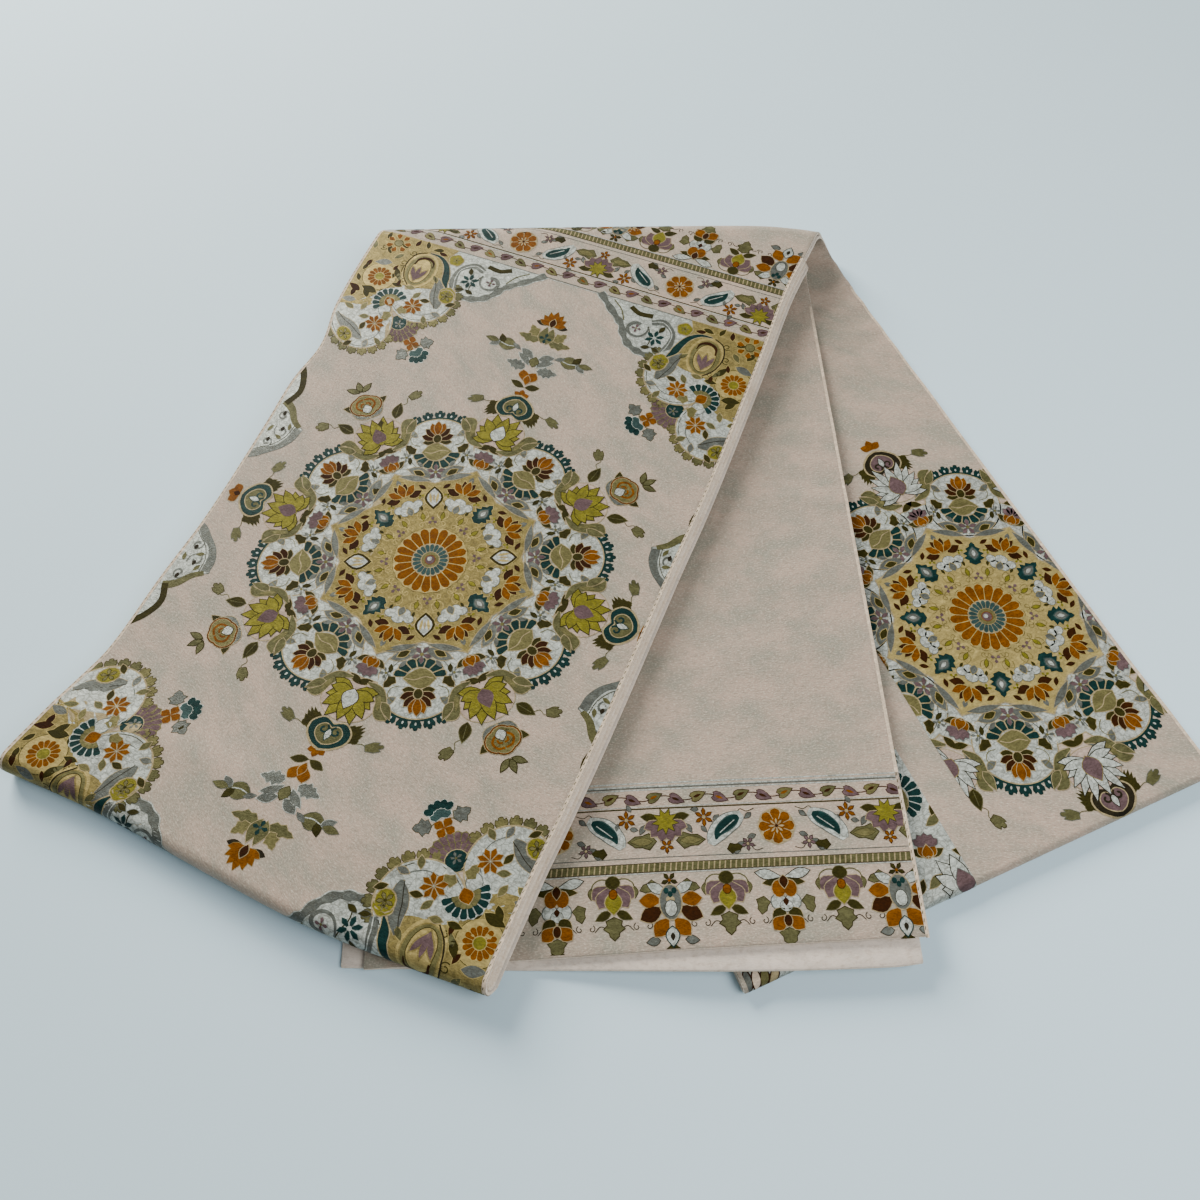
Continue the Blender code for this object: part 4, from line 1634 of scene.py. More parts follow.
def bracket(pen: Pen, level: int) -> None:
    """Draw an S-shaped leaf that frames a lotus on its right side."""
    path = curve(5 - 5j, 13 - 3j, 18.5 + 4j, 21 + 12j, 27 + 13.5j)
    width = np.interp(np.linspace(0, 1, len(path)), [0, 0.3, 0.6, 0.8, 1], [1, 6.2, 6.8, 5.4, 0.5])
    pen.line(path, width + 1, CREAM, level)
    pen.line(path, width, LEAF, level + 1)
    pen.at(19, 4, 62).fill(leaf(12.5, 5.4, 0.4, -3), LEAF, level + 2, CREAM, 0.4)
    pen.at(16, 0, 8).fill(leaf(11, 3.2, 0.4, 2), BEIGE, level + 4)


def paisley(pen: Pen, level: int) -> None:
    """Draw a slanting teal paisley on a pale drop."""
    body = curve(-9.6 + 9.2j, -6.6 + 4j, -1 - 1.6j, 5 - 5j, 9.6 - 8j, steps=4)
    round_end = np.sin(np.linspace(0.22, 2.9, len(body))) ** 0.7
    pen.line(body, 12.4 * round_end, GREY, level)
    pen.line(body, 11.2 * round_end, SILVER, level + 1)
    core = curve(-6.6 + 6.4j, -4.4 + 1.8j, 0.6 - 2.2j, 4.4 - 4.8j, 7.6 - 6.6j, steps=4)
    round_end = np.sin(np.linspace(0.1, 2.85, len(core)) ** 1.12 / 1.1) ** 0.8
    pen.line(core, 8 * round_end, BLUE, level + 3)
    pen.line(core, 6.4 * round_end, TEAL, level + 4)
    pen.line(curve(-4 + 2.6j, 0.4 - 1j, 5 - 4.6j), 0.5, SILVER, level + 6)


def leaf_pair(pen: Pen, length: float, width: float, angle: float, ink: Ink, edge: Ink, level: int) -> None:
    """Draw a leaf to each side."""
    pen.twice((0.6, 0, angle, leaf(length, width, 0.5), ink, level, edge, 0.4))


def selvedge(pen: Pen, x: float, low: float, high: float, sewn: bool = True) -> None:
    """Draw the pale edge of the face cloth, with the stitches of the seam where they show."""
    pen.line(np.arange(low, high, 12) * 1j + x, 2, COTTON, 2)
    for y in np.arange(low, high, 4.2) if sewn else ():
        pen.line(np.array([x - 0.6 + y * 1j, x - 0.2 + (y + 1.8) * 1j]), 0.45, LEAF, 4)


# ------------------------------------------------------------------ the ornament
# Places across the cloth, in millimetres from its middle: where the pattern ends at the
# selvedges, and where the pale seams lie beyond it.
PATTERN_EDGE = 153.5
SEAM_EDGE = 154.6


@dataclass(frozen=True)
class Medallion:
    """Eight-fold medallion of a rosette, a gold star, lobes and lotuses, in millimetres.

    Attributes:
        petals: how many petals the rosette has.
        rosette_radius: radius of the rosette.
        star_tip: radius of the gold star's tips.
        star_notch: radius of its notches.
        lobe_ring: radius on which the white lobes' centres lie.
        lobe_radius: radius of a white lobe.
        lotus_ring: radius on which the lotuses' feet lie.
        buds: threads of the eight oval buds.
        lotus: thread of the eight lotuses.
        gems: whether the lotuses above and below hold a pale bud.
        ground: thread of the star.
        swirl: thread of the fine swirls on it.
    """

    petals: int = 20
    rosette_radius: float = 24.2
    star_tip: float = 73.0
    star_notch: float = 59.0
    lobe_ring: float = 87.0
    lobe_radius: float = 25.0
    lotus_ring: float = 98.0
    buds: tuple[Ink, ...] = (TEAL, SILVER) * 4
    lotus: Ink = YELLOW
    gems: bool = True
    ground: Ink = GOLD
    swirl: Ink = GOLD_LIGHT

    def draw(self, pen: Pen) -> None:
        """Draw the medallion round the pen's origin."""
        self.draw_ground(pen)
        self.draw_lobes(pen)
        self.draw_between(pen)
        self.draw_star(pen)
        self.draw_rosette(pen)
        self.draw_lotuses(pen)

    def draw_ground(self, pen: Pen) -> None:
        """Draw the white ground under the medallion and its scalloped rim."""
        pen.fill(disc(2 * 91, points=64), SILVER, 0, CREAM, 0.8)
        for lobe in pen.ring(self.lobe_ring, 8, 22.5):
            lobe.fill(disc(2 * self.lobe_radius, points=40), SILVER, 1, CREAM, 0.9)
            turns = np.radians(np.linspace(-54, 54, 25))
            lobe.line(1j * (self.lobe_radius + 1.2) * np.exp(-1j * turns), 1.6, TEAL, 3)
            for angle in np.linspace(-48, 48, 7):
                tooth = lobe.at(0, 0, angle).at(0, self.lobe_radius + 1.2)
                tooth.fill(crown(7.6, 7), TEAL, 3)
                tooth.at(0, 2.4).fill(disc(1.3, 2.2, 6), SILVER, 5)
            lobe.line(1j * (self.lobe_radius + 0.4) * np.exp(-1j * turns), 0.8, CREAM, 5)

    def draw_lobes(self, pen: Pen) -> None:
        """Draw the beige oval, the half fan and the orange lotus in each white lobe."""
        for lobe in pen.ring(0, 8, 22.5):
            half_fan(lobe.at(0, 84.5, 180), 7, 8.8, 16.4, 176, TEAL, CREAM, 4, 0.84)
            lobe.at(0, 85).fill(leaf(20, 14).imag - 10 + 1j * leaf(20, 14).real, BEIGE, 8, CREAM, 0.5)
            lobe.at(0, 85).line(curve(-8.4 + 0j, -3 - 1j, 3 + 1j, 8.4 + 0j), 0.6, CREAM, 11)
            brown_lotus(lobe.at(0, 92), 9)
            for half in lobe.both():
                half.at(15, 84, 42).fill(toothed(9.6, 6.4, 1), OLIVE, 6, CREAM, 0.35)
                half.at(13.5, 98, 64).fill(leaf(8, 4.4, 0.5, -2), GREY, 5, CREAM, 0.4)
                half.line(curve(12 + 90j, 17 + 92j, 18.5 + 97j, 15 + 101j), 0.5, BEIGE, 7)
                half.line(curve(4 + 70j, 12 + 72j, 19 + 80j, 22 + 90j), 0.6, GREY, 5)

    def draw_between(self, pen: Pen) -> None:
        """Draw the flowers between the star and the lobes."""
        for spoke in pen.ring(0, 8, 0):
            for half in spoke.both():
                half.put(
                    (9.6, 73.5, 128, leaf(19.5, 7.4, 0.45, 2.5), GREY, 6, CREAM, 0.45),
                    (7.6, 91, -62, leaf(11, 4.6, 0.5), OLIVE, 6, CREAM, 0.4),
                    (5.6, 96.5, 64, leaf(12, 5, 0.5, 1.5), GREY, 6, CREAM, 0.4))
                small_flower(half.at(11.8, 83), 5, 4.4, GREY, BEIGE, 6)
                half.at(12, 76, 20).fill(leaf(6.5, 3.2, 0.5), OLIVE, 8)
            carnation(spoke.at(0, 75.5), 12)
        for spoke in pen.ring(0, 8, 22.5):
            small_flower(spoke.at(0, 68.5), 5, 6.2, MAUVE, BEIGE, 10, GREY)
            spoke.twice(
                (7.6, 66, 62, leaf(8.4, 4.4, 0.5), OLIVE, 8, GOLD_LIGHT, 0.4),
                (9, 72.5, 38, leaf(6.4, 3, 0.5), GREY, 8))

    def draw_star(self, pen: Pen) -> None:
        """Draw the gold star with its fleurons, buds, clouds and fine swirls."""
        pen.fill(star(self.star_tip, self.star_notch, 8), self.ground, 11, CREAM, 0.9)
        for spoke in pen.ring(0, 8, 0):
            spoke.twice((2.2, 70, 118, leaf(22, 4.6, 0.5, 2), GREY, 13, CREAM, 0.4))
            fleuron(spoke.at(0, 52.5), 16)
            spoke.at(0, 62.5).fill(leaf(5.4, 3.4), GREY, 16)
        for spoke, ink in zip(pen.ring(0, 8, 22.5), self.buds):
            oval_bud(spoke.at(0, 38.5), ink, 17)
            for half in spoke.both():
                half.at(5.5, 55, 58).fill(leaf(6.5, 3, 0.5), BROWN, 14)
                small_flower(half.at(9.6, 50), 4, 3.2, YELLOW, OLIVE, 14)
            small_flower(spoke.at(0, 29.8), 3, 3.4, MAUVE, BEIGE, 15)
        for spoke in pen.ring(0, 16, 11.25):
            for half in spoke.both():
                half.at(1.6, 27.6).line(spiral(2.9, 0.9, 0.8, 250, 12), 0.55, self.swirl, 15)
                half.line(curve(0.5 + 31j, 3.6 + 33.5j, 3 + 37.5j, 0.6 + 37j), 0.55, self.swirl, 15)
            spoke.at(0, 30.6).fill(leaf(6, 2.6, 0.5), YELLOW, 14, OLIVE, 0.35)
            spoke.at(0, 38.6).fill(leaf(4.2, 2, 0.5), OLIVE, 14)
            for half in spoke.both():
                half.line(curve(1 + 42j, 3.2 + 45j, 1.6 + 48.5j, -0.6 + 46.5j), 0.6, CREAM, 15)

    def draw_rosette(self, pen: Pen) -> None:
        """Draw the orange and blue rosette and its pale gem."""
        outer = self.rosette_radius
        pen.fill(scallops(outer + 0.9, outer * 0.1, self.petals), BROWN, 17)
        rosette(pen, self.petals, outer * 0.5, outer, ORANGE, GOLD_LIGHT, 18)
        rosette(pen, self.petals, outer * 0.25, outer * 0.49, BLUE, CREAM, 21)
        pen.fill(disc(11.6, points=18), BEIGE, 23, CREAM, 0.5)
        pen.fill(disc(6.4, points=12), MAUVE, 25, ORANGE, 0.5)
        pen.at(-0.6, 0.6).fill(disc(3.2, points=8), SILVER, 27)

    def draw_lotuses(self, pen: Pen) -> None:
        """Draw the eight lotuses that stand between the lobes, with their leaf brackets."""
        for index, spoke in enumerate(pen.ring(self.lotus_ring, 8, 0)):
            for half in spoke.both():
                bracket(half, 8)
            spoke.at(0, 11).fill(disc(34, 27, 24), GROUND, 6, CREAM, 0.5)
            pale = self.gems and index in (0, 4)
            bud, bud_edge = (SILVER, BROWN) if pale else (MAUVE, YELLOW)
            if self.lotus is YELLOW:
                lotus(spoke, 28, 24, YELLOW, OLIVE, bud, bud_edge, 14)
            else:
                lotus(spoke, 33, 28, self.lotus, DARK, bud, GOLD, 14, 6, 0.19)


@dataclass(frozen=True)
class Surround:
    """What stands round the medallion: roses, heart scrolls and sprigs.

    Attributes:
        rose_ring: radius on which the roses' feet lie.
        heart_ring: radius on which the heart scrolls' feet lie.
    """

    rose_ring: float = 127.0
    heart_ring: float = 124.0

    def draw(self, pen: Pen, heart: Ink = TEAL) -> None:
        """Draw the surround.

        Args:
            pen: pen at the middle of the medallion.
            heart: thread of the heart scrolls.
        """
        for spoke in pen.ring(0, 4, 45):
            rose(spoke.at(0, self.rose_ring), 4)
            for half in spoke.both():
                sprig(half.at(15.5, 118, 34), 3)
        for spoke in pen.ring(0, 4, 0):
            inside = LEAF if heart is TEAL else MAUVE
            heart_scroll(spoke.at(0, self.heart_ring), heart, inside, 4)


@dataclass(frozen=True)
class Spray:
    """Spray of flowers that stands on the medallion's axis, beyond the heart scroll.

    Attributes:
        foot: distance from the medallion's middle to the spray's foot.
    """

    foot: float = 138.0

    def draw(self, pen: Pen) -> None:
        """Draw the spray outwards from the pen's origin."""
        base = pen.at(0, self.foot)
        for angle in (-62, 62, 0):
            base.at(0, 2, angle).fill(leaf(6.4, 4.6, 0.55, points=5), ORANGE, 2)
        leaf_pair(base.at(0, 10.5), 10.5, 4.8, 74, OLIVE, LEAF, 2)
        for half in base.both():
            half.put(
                (1.4, 14.5, 18, leaf(11, 7.6, 0.62), ORANGE, 3, CREAM, 0.35),
                (4.6, 27, 82, toothed(15, 8.6, 3), GREY, 2, SILVER, 0.3),
                (3, 30, 34, leaf(13, 5.4, 0.5, 4), GREY, 4, SILVER, 0.4),
                (2, 37, 62, leaf(12, 6.6, 0.5), GREY, 4, SILVER, 0.4),
                (13, 41, 62, leaf(8.4, 3.8, 0.5), GREY, 4))
            self.draw_side_bud(half.at(17, 42, 86))
            half.put(
                (4, 53.5, 84, toothed(16, 7.6, 2), LEAF, 2, CREAM, 0.35),
                (6.6, 57, 38, toothed(11, 7.6, 2), BEIGE, 4, CREAM, 0.35),
                (1.6, 52, 16, leaf(15, 6.6, 0.5, -3.6), LEAF, 6, CREAM, 0.4),
                (1, 69.5, 84, leaf(11.5, 4.6, 0.6), DARK, 2))
        base.at(0, 12.8).fill(leaf(8.6, 5, 0.5), ORANGE, 5, CREAM, 0.35)
        base.at(0, 29.5).fill(leaf(9, 6.8, 0.5), LEAF, 6, OLIVE, 0.4)
        small_flower(base.at(0, 57), 4, 4.8, TEAL, BLUE, 8)
        for angle in (-72, 72, -46, 46, -22, 22, 0):
            base.at(0, 69.5, angle).fill(
                leaf(14.5 - abs(angle) * 0.055, 4.6, 0.6, points=5), ORANGE, 4, GOLD, 0.25)
        base.at(0, 68).fill(leaf(8.4, 4.6, 0.5), BROWN, 8, CREAM, 0.45)

    def draw_side_bud(self, pen: Pen) -> None:
        """Draw a toothed bud with leaflets, outwards from the pen's origin."""
        pen.fill(leaf(16, 11, 0.45), LEAF, 3, GREY, 0.4)
        pen.at(0, 2).line(curve(0j, 1.2 + 5j, 0.4 + 10j), 0.7, SILVER, 6)
        pen.put(
            (0.5, 10, -58, leaf(8.4, 4.8), OLIVE, 4, DARK, 0.3),
            (0, 12.5, 40, leaf(9, 5), GREY, 4, SILVER, 0.3),
            (0, 14, 2, leaf(10.5, 4.8), LEAF, 5, GREY, 0.3))


@dataclass(frozen=True)
class Corner:
    """Quarter of a second medallion that fills a corner of the field.

    It is drawn in the field's own axes for the far right corner, where x and y are measured
    from the middle of the medallion.

    Attributes:
        reach: where the field ends across the cloth.
        top: where the field ends along the cloth.
        lobe_radius: radius of its two white lobes.
    """

    reach: float = 165.0
    top: float = 250.5
    lobe_radius: float = 24.6

    def draw(self, pen: Pen) -> None:
        """Draw the corner for the far right."""
        self.draw_ground(pen)
        self.draw_bloom(pen)
        for lobe in (pen.at(101, 198.5, 245), pen.at(137, 162.5, 193, mirrored=True)):
            self.draw_lobe(lobe)
        self.draw_knot(pen.at(121.5, 184.5, 42))
        self.draw_gold(pen)
        self.draw_scrolls(pen)
        self.draw_sprig(pen)

    def draw_ground(self, pen: Pen) -> None:
        """Draw the wavy grey rim, the silver ground and the gold ground."""
        rim = curve(22 + 252j, 31 + 243j, 41 + 234j, 47 + 228j, 52 + 219j, 59 + 212j, 67 + 209j, 76 + 208j,
                    steps=5)
        wave = 5 + 1.2 * np.sin(np.linspace(0, 40, len(rim)))
        corner = np.array([self.reach + 150j, self.reach + self.top * 1j, 26 + self.top * 1j])
        pen.fill(np.concatenate([rim, corner]), SILVER, 1, CREAM, 0.5)
        pen.line(rim, wave + 1.4, SILVER, 2)
        pen.line(rim, wave, GREY, 3)
        gold = curve(94 + 251j, 97 + 239j, 88 + 216j, 100 + 206j, 117 + 204j, 128 + 194j,
                     134 + 178j, 150 + 174j, 165 + 170j, steps=4)
        pen.fill(np.concatenate([gold, corner[1:2]]), GOLD, 6.5, CREAM, 0.5)

    def draw_bloom(self, pen: Pen) -> None:
        """Draw the half flower that stands between the two lobes."""
        bloom = pen.at(108, 169.5, 222)
        half_fan(bloom, 11, 11, 17, 176, MAUVE, BEIGE, 1)
        half_fan(bloom, 9, 6.4, 11.4, 176, MAUVE, BEIGE, 2)
        bloom.fill(disc(13, points=14), TEAL, 5, CREAM, 0.5)
        small_flower(bloom.at(0, 1.6), 5, 3.8, GREY, LEAF, 7)

    def draw_lobe(self, lobe: Pen) -> None:
        """Draw a white lobe, outwards from its middle, with its toothed rim."""
        radius = self.lobe_radius
        for angle in np.linspace(-58, 62, 8):
            tooth = lobe.at(0, 0, angle).at(0, radius - 0.6)
            tooth.fill(crown(7.2, 7), LEAF if angle > 0 else BEIGE, 3, OLIVE, 0.4)
        lobe.fill(disc(2 * radius, points=34), SILVER, 6, CREAM, 1)
        lobe.hoop(disc(2 * radius - 2.4, points=34), 0.5, OLIVE, 7)
        sickle = curve(-1 + 17j, 3 + 13j, 8 + 7.5j, 14.5 + 2j, 20 - 5j, steps=4)
        pinch = np.sin(np.linspace(0.15, 3, len(sickle)))
        lobe.line(sickle, 10.4 * pinch + 0.8, CREAM, 8)
        lobe.line(sickle, 10.4 * pinch, GREY, 9)
        lobe.line(sickle - 1 - 1.4j, 0.5, DARK, 10)
        bud = lobe.at(12.5, 13.5, 50)
        bud.fill(disc(13, 11, 12), YELLOW, 11, CREAM, 0.8)
        small_flower(bud, 5, 4.6, BEIGE, OLIVE, 13, OLIVE)
        for x, y, turn, ink in ((-4, 2, 34, OLIVE), (-6.5, -3.5, 84, LEAF), (6, 19.5, 60, OLIVE),
                (-12, 15, 320, LEAF), (-6, 17, 20, GREY), (-3, -16, 30, BEIGE)):
            lobe.at(x, y, turn).fill(leaf(8, 4, 0.5), ink, 11, CREAM, 0.4)
        lobe.line(curve(-2 + 20j, -13 + 13j, -17 + 3j, -14 - 8j), 0.6, GREY, 8)
        for petal in lobe.at(-11.5, 2.6).ring(0.8, 8, 10):
            petal.fill(leaf(7, 3.4, 0.62, points=4), ORANGE, 13, CREAM, 0.3)

    def draw_knot(self, pen: Pen) -> None:
        """Draw the orange drop in its teal half fan, between the lobes and the gold."""
        pen.twice(
            (6, -5, 74, disc(11, 9, 12), SILVER, 11, GREY, 0.5),
            (3, -8, 128, toothed(10, 7, 1), BEIGE, 12, CREAM, 0.4))
        half_fan(pen, 9, 7.6, 13.6, 200, TEAL, SILVER, 13)
        half_fan(pen, 7, 4.4, 8, 200, BEIGE, LEAF, 14)
        pen.at(0, -4).fill(leaf(9.6, 8, 0.5), ORANGE, 17, CREAM, 0.4)

    def draw_gold(self, pen: Pen) -> None:
        """Draw the whorl, the daisy and the leaves on the gold ground."""
        daisy = pen.at(139.5, 205)
        daisy.fill(disc(26, points=24), GOLD_LIGHT, 8, OLIVE, 0.4)
        rosette(daisy, 14, 4, 9.4, ORANGE, GOLD_LIGHT, 10)
        daisy.fill(disc(7, points=12), YELLOW, 13, GOLD_LIGHT, 0.5)
        whorl = pen.at(113, 221.5)
        whorl.fill(disc(26, 37, 30), GOLD_LIGHT, 7, OLIVE, 0.9)
        whorl.fill(disc(21, 31, 26), BEIGE, 8.5, GOLD, 0.8)
        whorl.at(0, -1).fill(disc(15, 25, 22), GOLD_LIGHT, 10, OLIVE, 0.5)
        for angle in (-24, 24, 0):
            whorl.at(0.6, -12, angle).fill(leaf(15, 3.4, 0.6), MAUVE, 12, GOLD, 0.9)
        whorl.line(curve(-8 + 5j, -6.5 + 10.5j, -1 + 13j, 5 + 10.5j, 6.4 + 4j),
            np.interp(np.linspace(0, 1, 25), [0, 0.5, 1], [0.6, 2.6, 1]), BROWN, 14)
        whorl.line(curve(2 + 18.6j, 9.5 + 14j, 12.6 + 3j, 9.6 - 9j, 3 - 17j), 0.9, DARK, 14)
        sweep = curve(113 + 240.5j, 104 + 239.5j, 97 + 234j, 93 + 226j, 90.5 + 218j, 87 + 212j, steps=7)
        taper = np.interp(np.linspace(0, 1, len(sweep)), [0, 0.4, 0.75, 1], [0.8, 3.8, 5.6, 1])
        pen.line(sweep, taper + 1.3, CREAM, 10)
        pen.line(sweep, taper, TEAL, 11)
        for x, y, turn, length, ink in ((136, 221, 100, 14, GREY), (142, 229, 20, 10, OLIVE),
                (126, 208, 20, 11, OLIVE), (119, 201.5, 80, 9, OLIVE), (117, 244, 10, 8, OLIVE),
                (127, 243, 340, 8, BROWN), (135, 189.5, 74, 14, OLIVE), (148, 187, 60, 12, BROWN),
                (151, 243, 350, 8, OLIVE), (131, 232, 130, 9, LEAF), (104, 246.5, 96, 9, OLIVE),
                (152, 219, 160, 9, BROWN), (130, 195, 140, 8, OLIVE), (147, 178, 90, 12, GREY),
                (153, 196, 20, 8, OLIVE), (133, 214, 330, 7, BROWN), (140, 183, 30, 10, OLIVE),
                (146, 170, 60, 9, LEAF), (153, 181, 350, 9, BROWN), (131, 239, 60, 8, OLIVE),
                (123, 201, 350, 7, BROWN), (127, 213, 200, 8, LEAF), (107, 244, 250, 8, BROWN),
                (156, 230, 10, 9, LEAF), (96, 214, 30, 8, LEAF), (155, 207, 340, 8, OLIVE)):
            pen.at(x, y, turn).fill(leaf(length, length * 0.46, 0.45, 1.2), ink, 9, GOLD_LIGHT, 0.4)
        bloom = pen.at(140.5, 241.5)
        for petal in bloom.ring(4.2, 7, 20):
            petal.fill(leaf(6, 4.6, 0.6, points=4), ORANGE, 10, GOLD_LIGHT, 0.35)
        bloom.fill(disc(6.4, points=10), BEIGE, 12, OLIVE, 0.5)
        for x, y, radius in ((128, 224, 3.6), (149, 234, 3.4), (125, 236, 3), (141, 190, 2.8), (151, 209, 3),
                (121, 208, 2.4)):
            pen.at(x, y).line(spiral(radius, 1.2, 0.9, 40 * radius, 16), 0.7, OLIVE, 8)

    def draw_scrolls(self, pen: Pen) -> None:
        """Draw the grey scrolls and small flowers on the silver ground."""
        scroll = curve(67 + 238j, 76 + 241j, 84.5 + 234j, 85.5 + 224j, 83 + 214j, steps=6)
        pen.line(scroll, 4.6 + np.sin(np.linspace(0, 9, len(scroll))), GREY, 7)
        pen.line(scroll - 0.8, 0.6, SILVER, 8)
        whorl = spiral(9, 0.9, 4.6, 60, 24) + 58 + 229j
        pen.line(whorl, np.linspace(1.2, 3.6, 24), GREY, 7)
        pen.line(curve(66 + 234j, 71 + 222j, 70 + 214j), 0.7, OLIVE, 7)
        pen.line(curve(48 + 247j, 56 + 243j, 66 + 244j), 4, OLIVE, 7)
        pen.line(curve(34 + 249j, 42 + 242j, 47 + 233j), 1, LEAF, 5)
        small_flower(pen.at(73.5, 225), 6, 6.8, TEAL, SILVER, 9, BLUE)
        small_flower(pen.at(58, 229), 4, 3.8, MAUVE, BEIGE, 9)
        for x, y, turn in ((73, 216, 250), (74, 216, 110), (75, 231, 20)):
            pen.at(x, y, turn).fill(leaf(7, 3.4, 0.5), OLIVE, 9, GREY, 0.3)
        for x, y, size in ((84, 207, 11.5), (91.5, 241, 11)):
            bloom = pen.at(x, y)
            bloom.fill(scallops(size * 0.52, size * 0.1, 5), YELLOW, 10, CREAM, 0.6)
            small_flower(bloom, 5, size * 0.28, BEIGE, OLIVE, 12)

    def draw_sprig(self, pen: Pen) -> None:
        """Draw the small sprig that stands off the corner."""
        base = pen.at(92.5, 155, 225)
        for angle in (45, 135, 225, 315):
            base.at(0, 0, angle).fill(leaf(6.6, 5.6, 0.6, points=5), ORANGE, 3, CREAM, 0.25)
        body = base.at(0, 5.5)
        body.fill(heart_leaf(12.5, 12), BLUE, 2, SILVER, 0.5)
        for angle in (-52, -26, 0, 26, 52):
            body.at(0, 2, angle).at(0, 7.5).fill(disc(4.4, 5.8, 9), TEAL, 4, SILVER, 0.3)
        for half in base.both():
            half.at(6.5, 3.5, 76).fill(toothed(10.5, 9.5, 2), GREY, 2, OLIVE, 0.35)
            half.line(curve(1 + 3j, 4 + 4.5j, 7 + 3.5j), 0.6, LEAF, 4)


@dataclass(frozen=True)
class SideCartouche:
    """Grey scroll that leans in from the side of the field, above the middle."""

    def draw(self, pen: Pen) -> None:
        """Draw the scroll for the upper right side, from the pen's place at the middle."""
        leaf_side = curve(153 + 78j, 145 + 73j, 139 + 65j, 132.5 + 60.5j, steps=5)
        bowl = curve(132.5 + 60.5j, 134 + 51j, 140 + 42j, 148 + 36.5j, 155 + 31j, 163 + 29j, steps=5)
        tail = curve(160 + 112j, 152 + 102j, 148 + 90j, 153 + 78j, steps=4)
        outline = np.concatenate([tail, leaf_side, bowl, np.array([165 + 29j, 165 + 112j])])
        pen.fill(outline, SILVER, 1, GREY, 0.5)
        inward = 2.6 + 1j
        pen.line(leaf_side + inward, np.linspace(6.4, 3.6, len(leaf_side)), LEAF, 3)
        pen.line(bowl + 2.8, 5.2 + 0.9 * np.sin(np.linspace(0, 12, len(bowl))), GREY, 4)
        pen.line(tail + 1.6 - 1j, 4.4, OLIVE, 5)
        pen.line(bowl + 6.6 + 1.5j, 0.5, OLIVE, 5)
        for x, y, radius, turn in ((146, 55, 6.2, 60), (152, 44, 4.4, 200), (151, 67, 4.6, 300)):
            whorl = spiral(radius, 1.1, 1.2, turn, 22) + x + 1j * y
            pen.line(whorl, np.linspace(0.7, 2, 22), GREY, 6)
            pen.at(x, y).fill(leaf(4.4, 2.8), DARK, 7)
        for x, y, turn in ((141, 57, 20), (143, 49, 70), (154, 58, 160)):
            pen.at(x, y, turn).fill(leaf(6.5, 3), LEAF, 7, SILVER, 0.3)


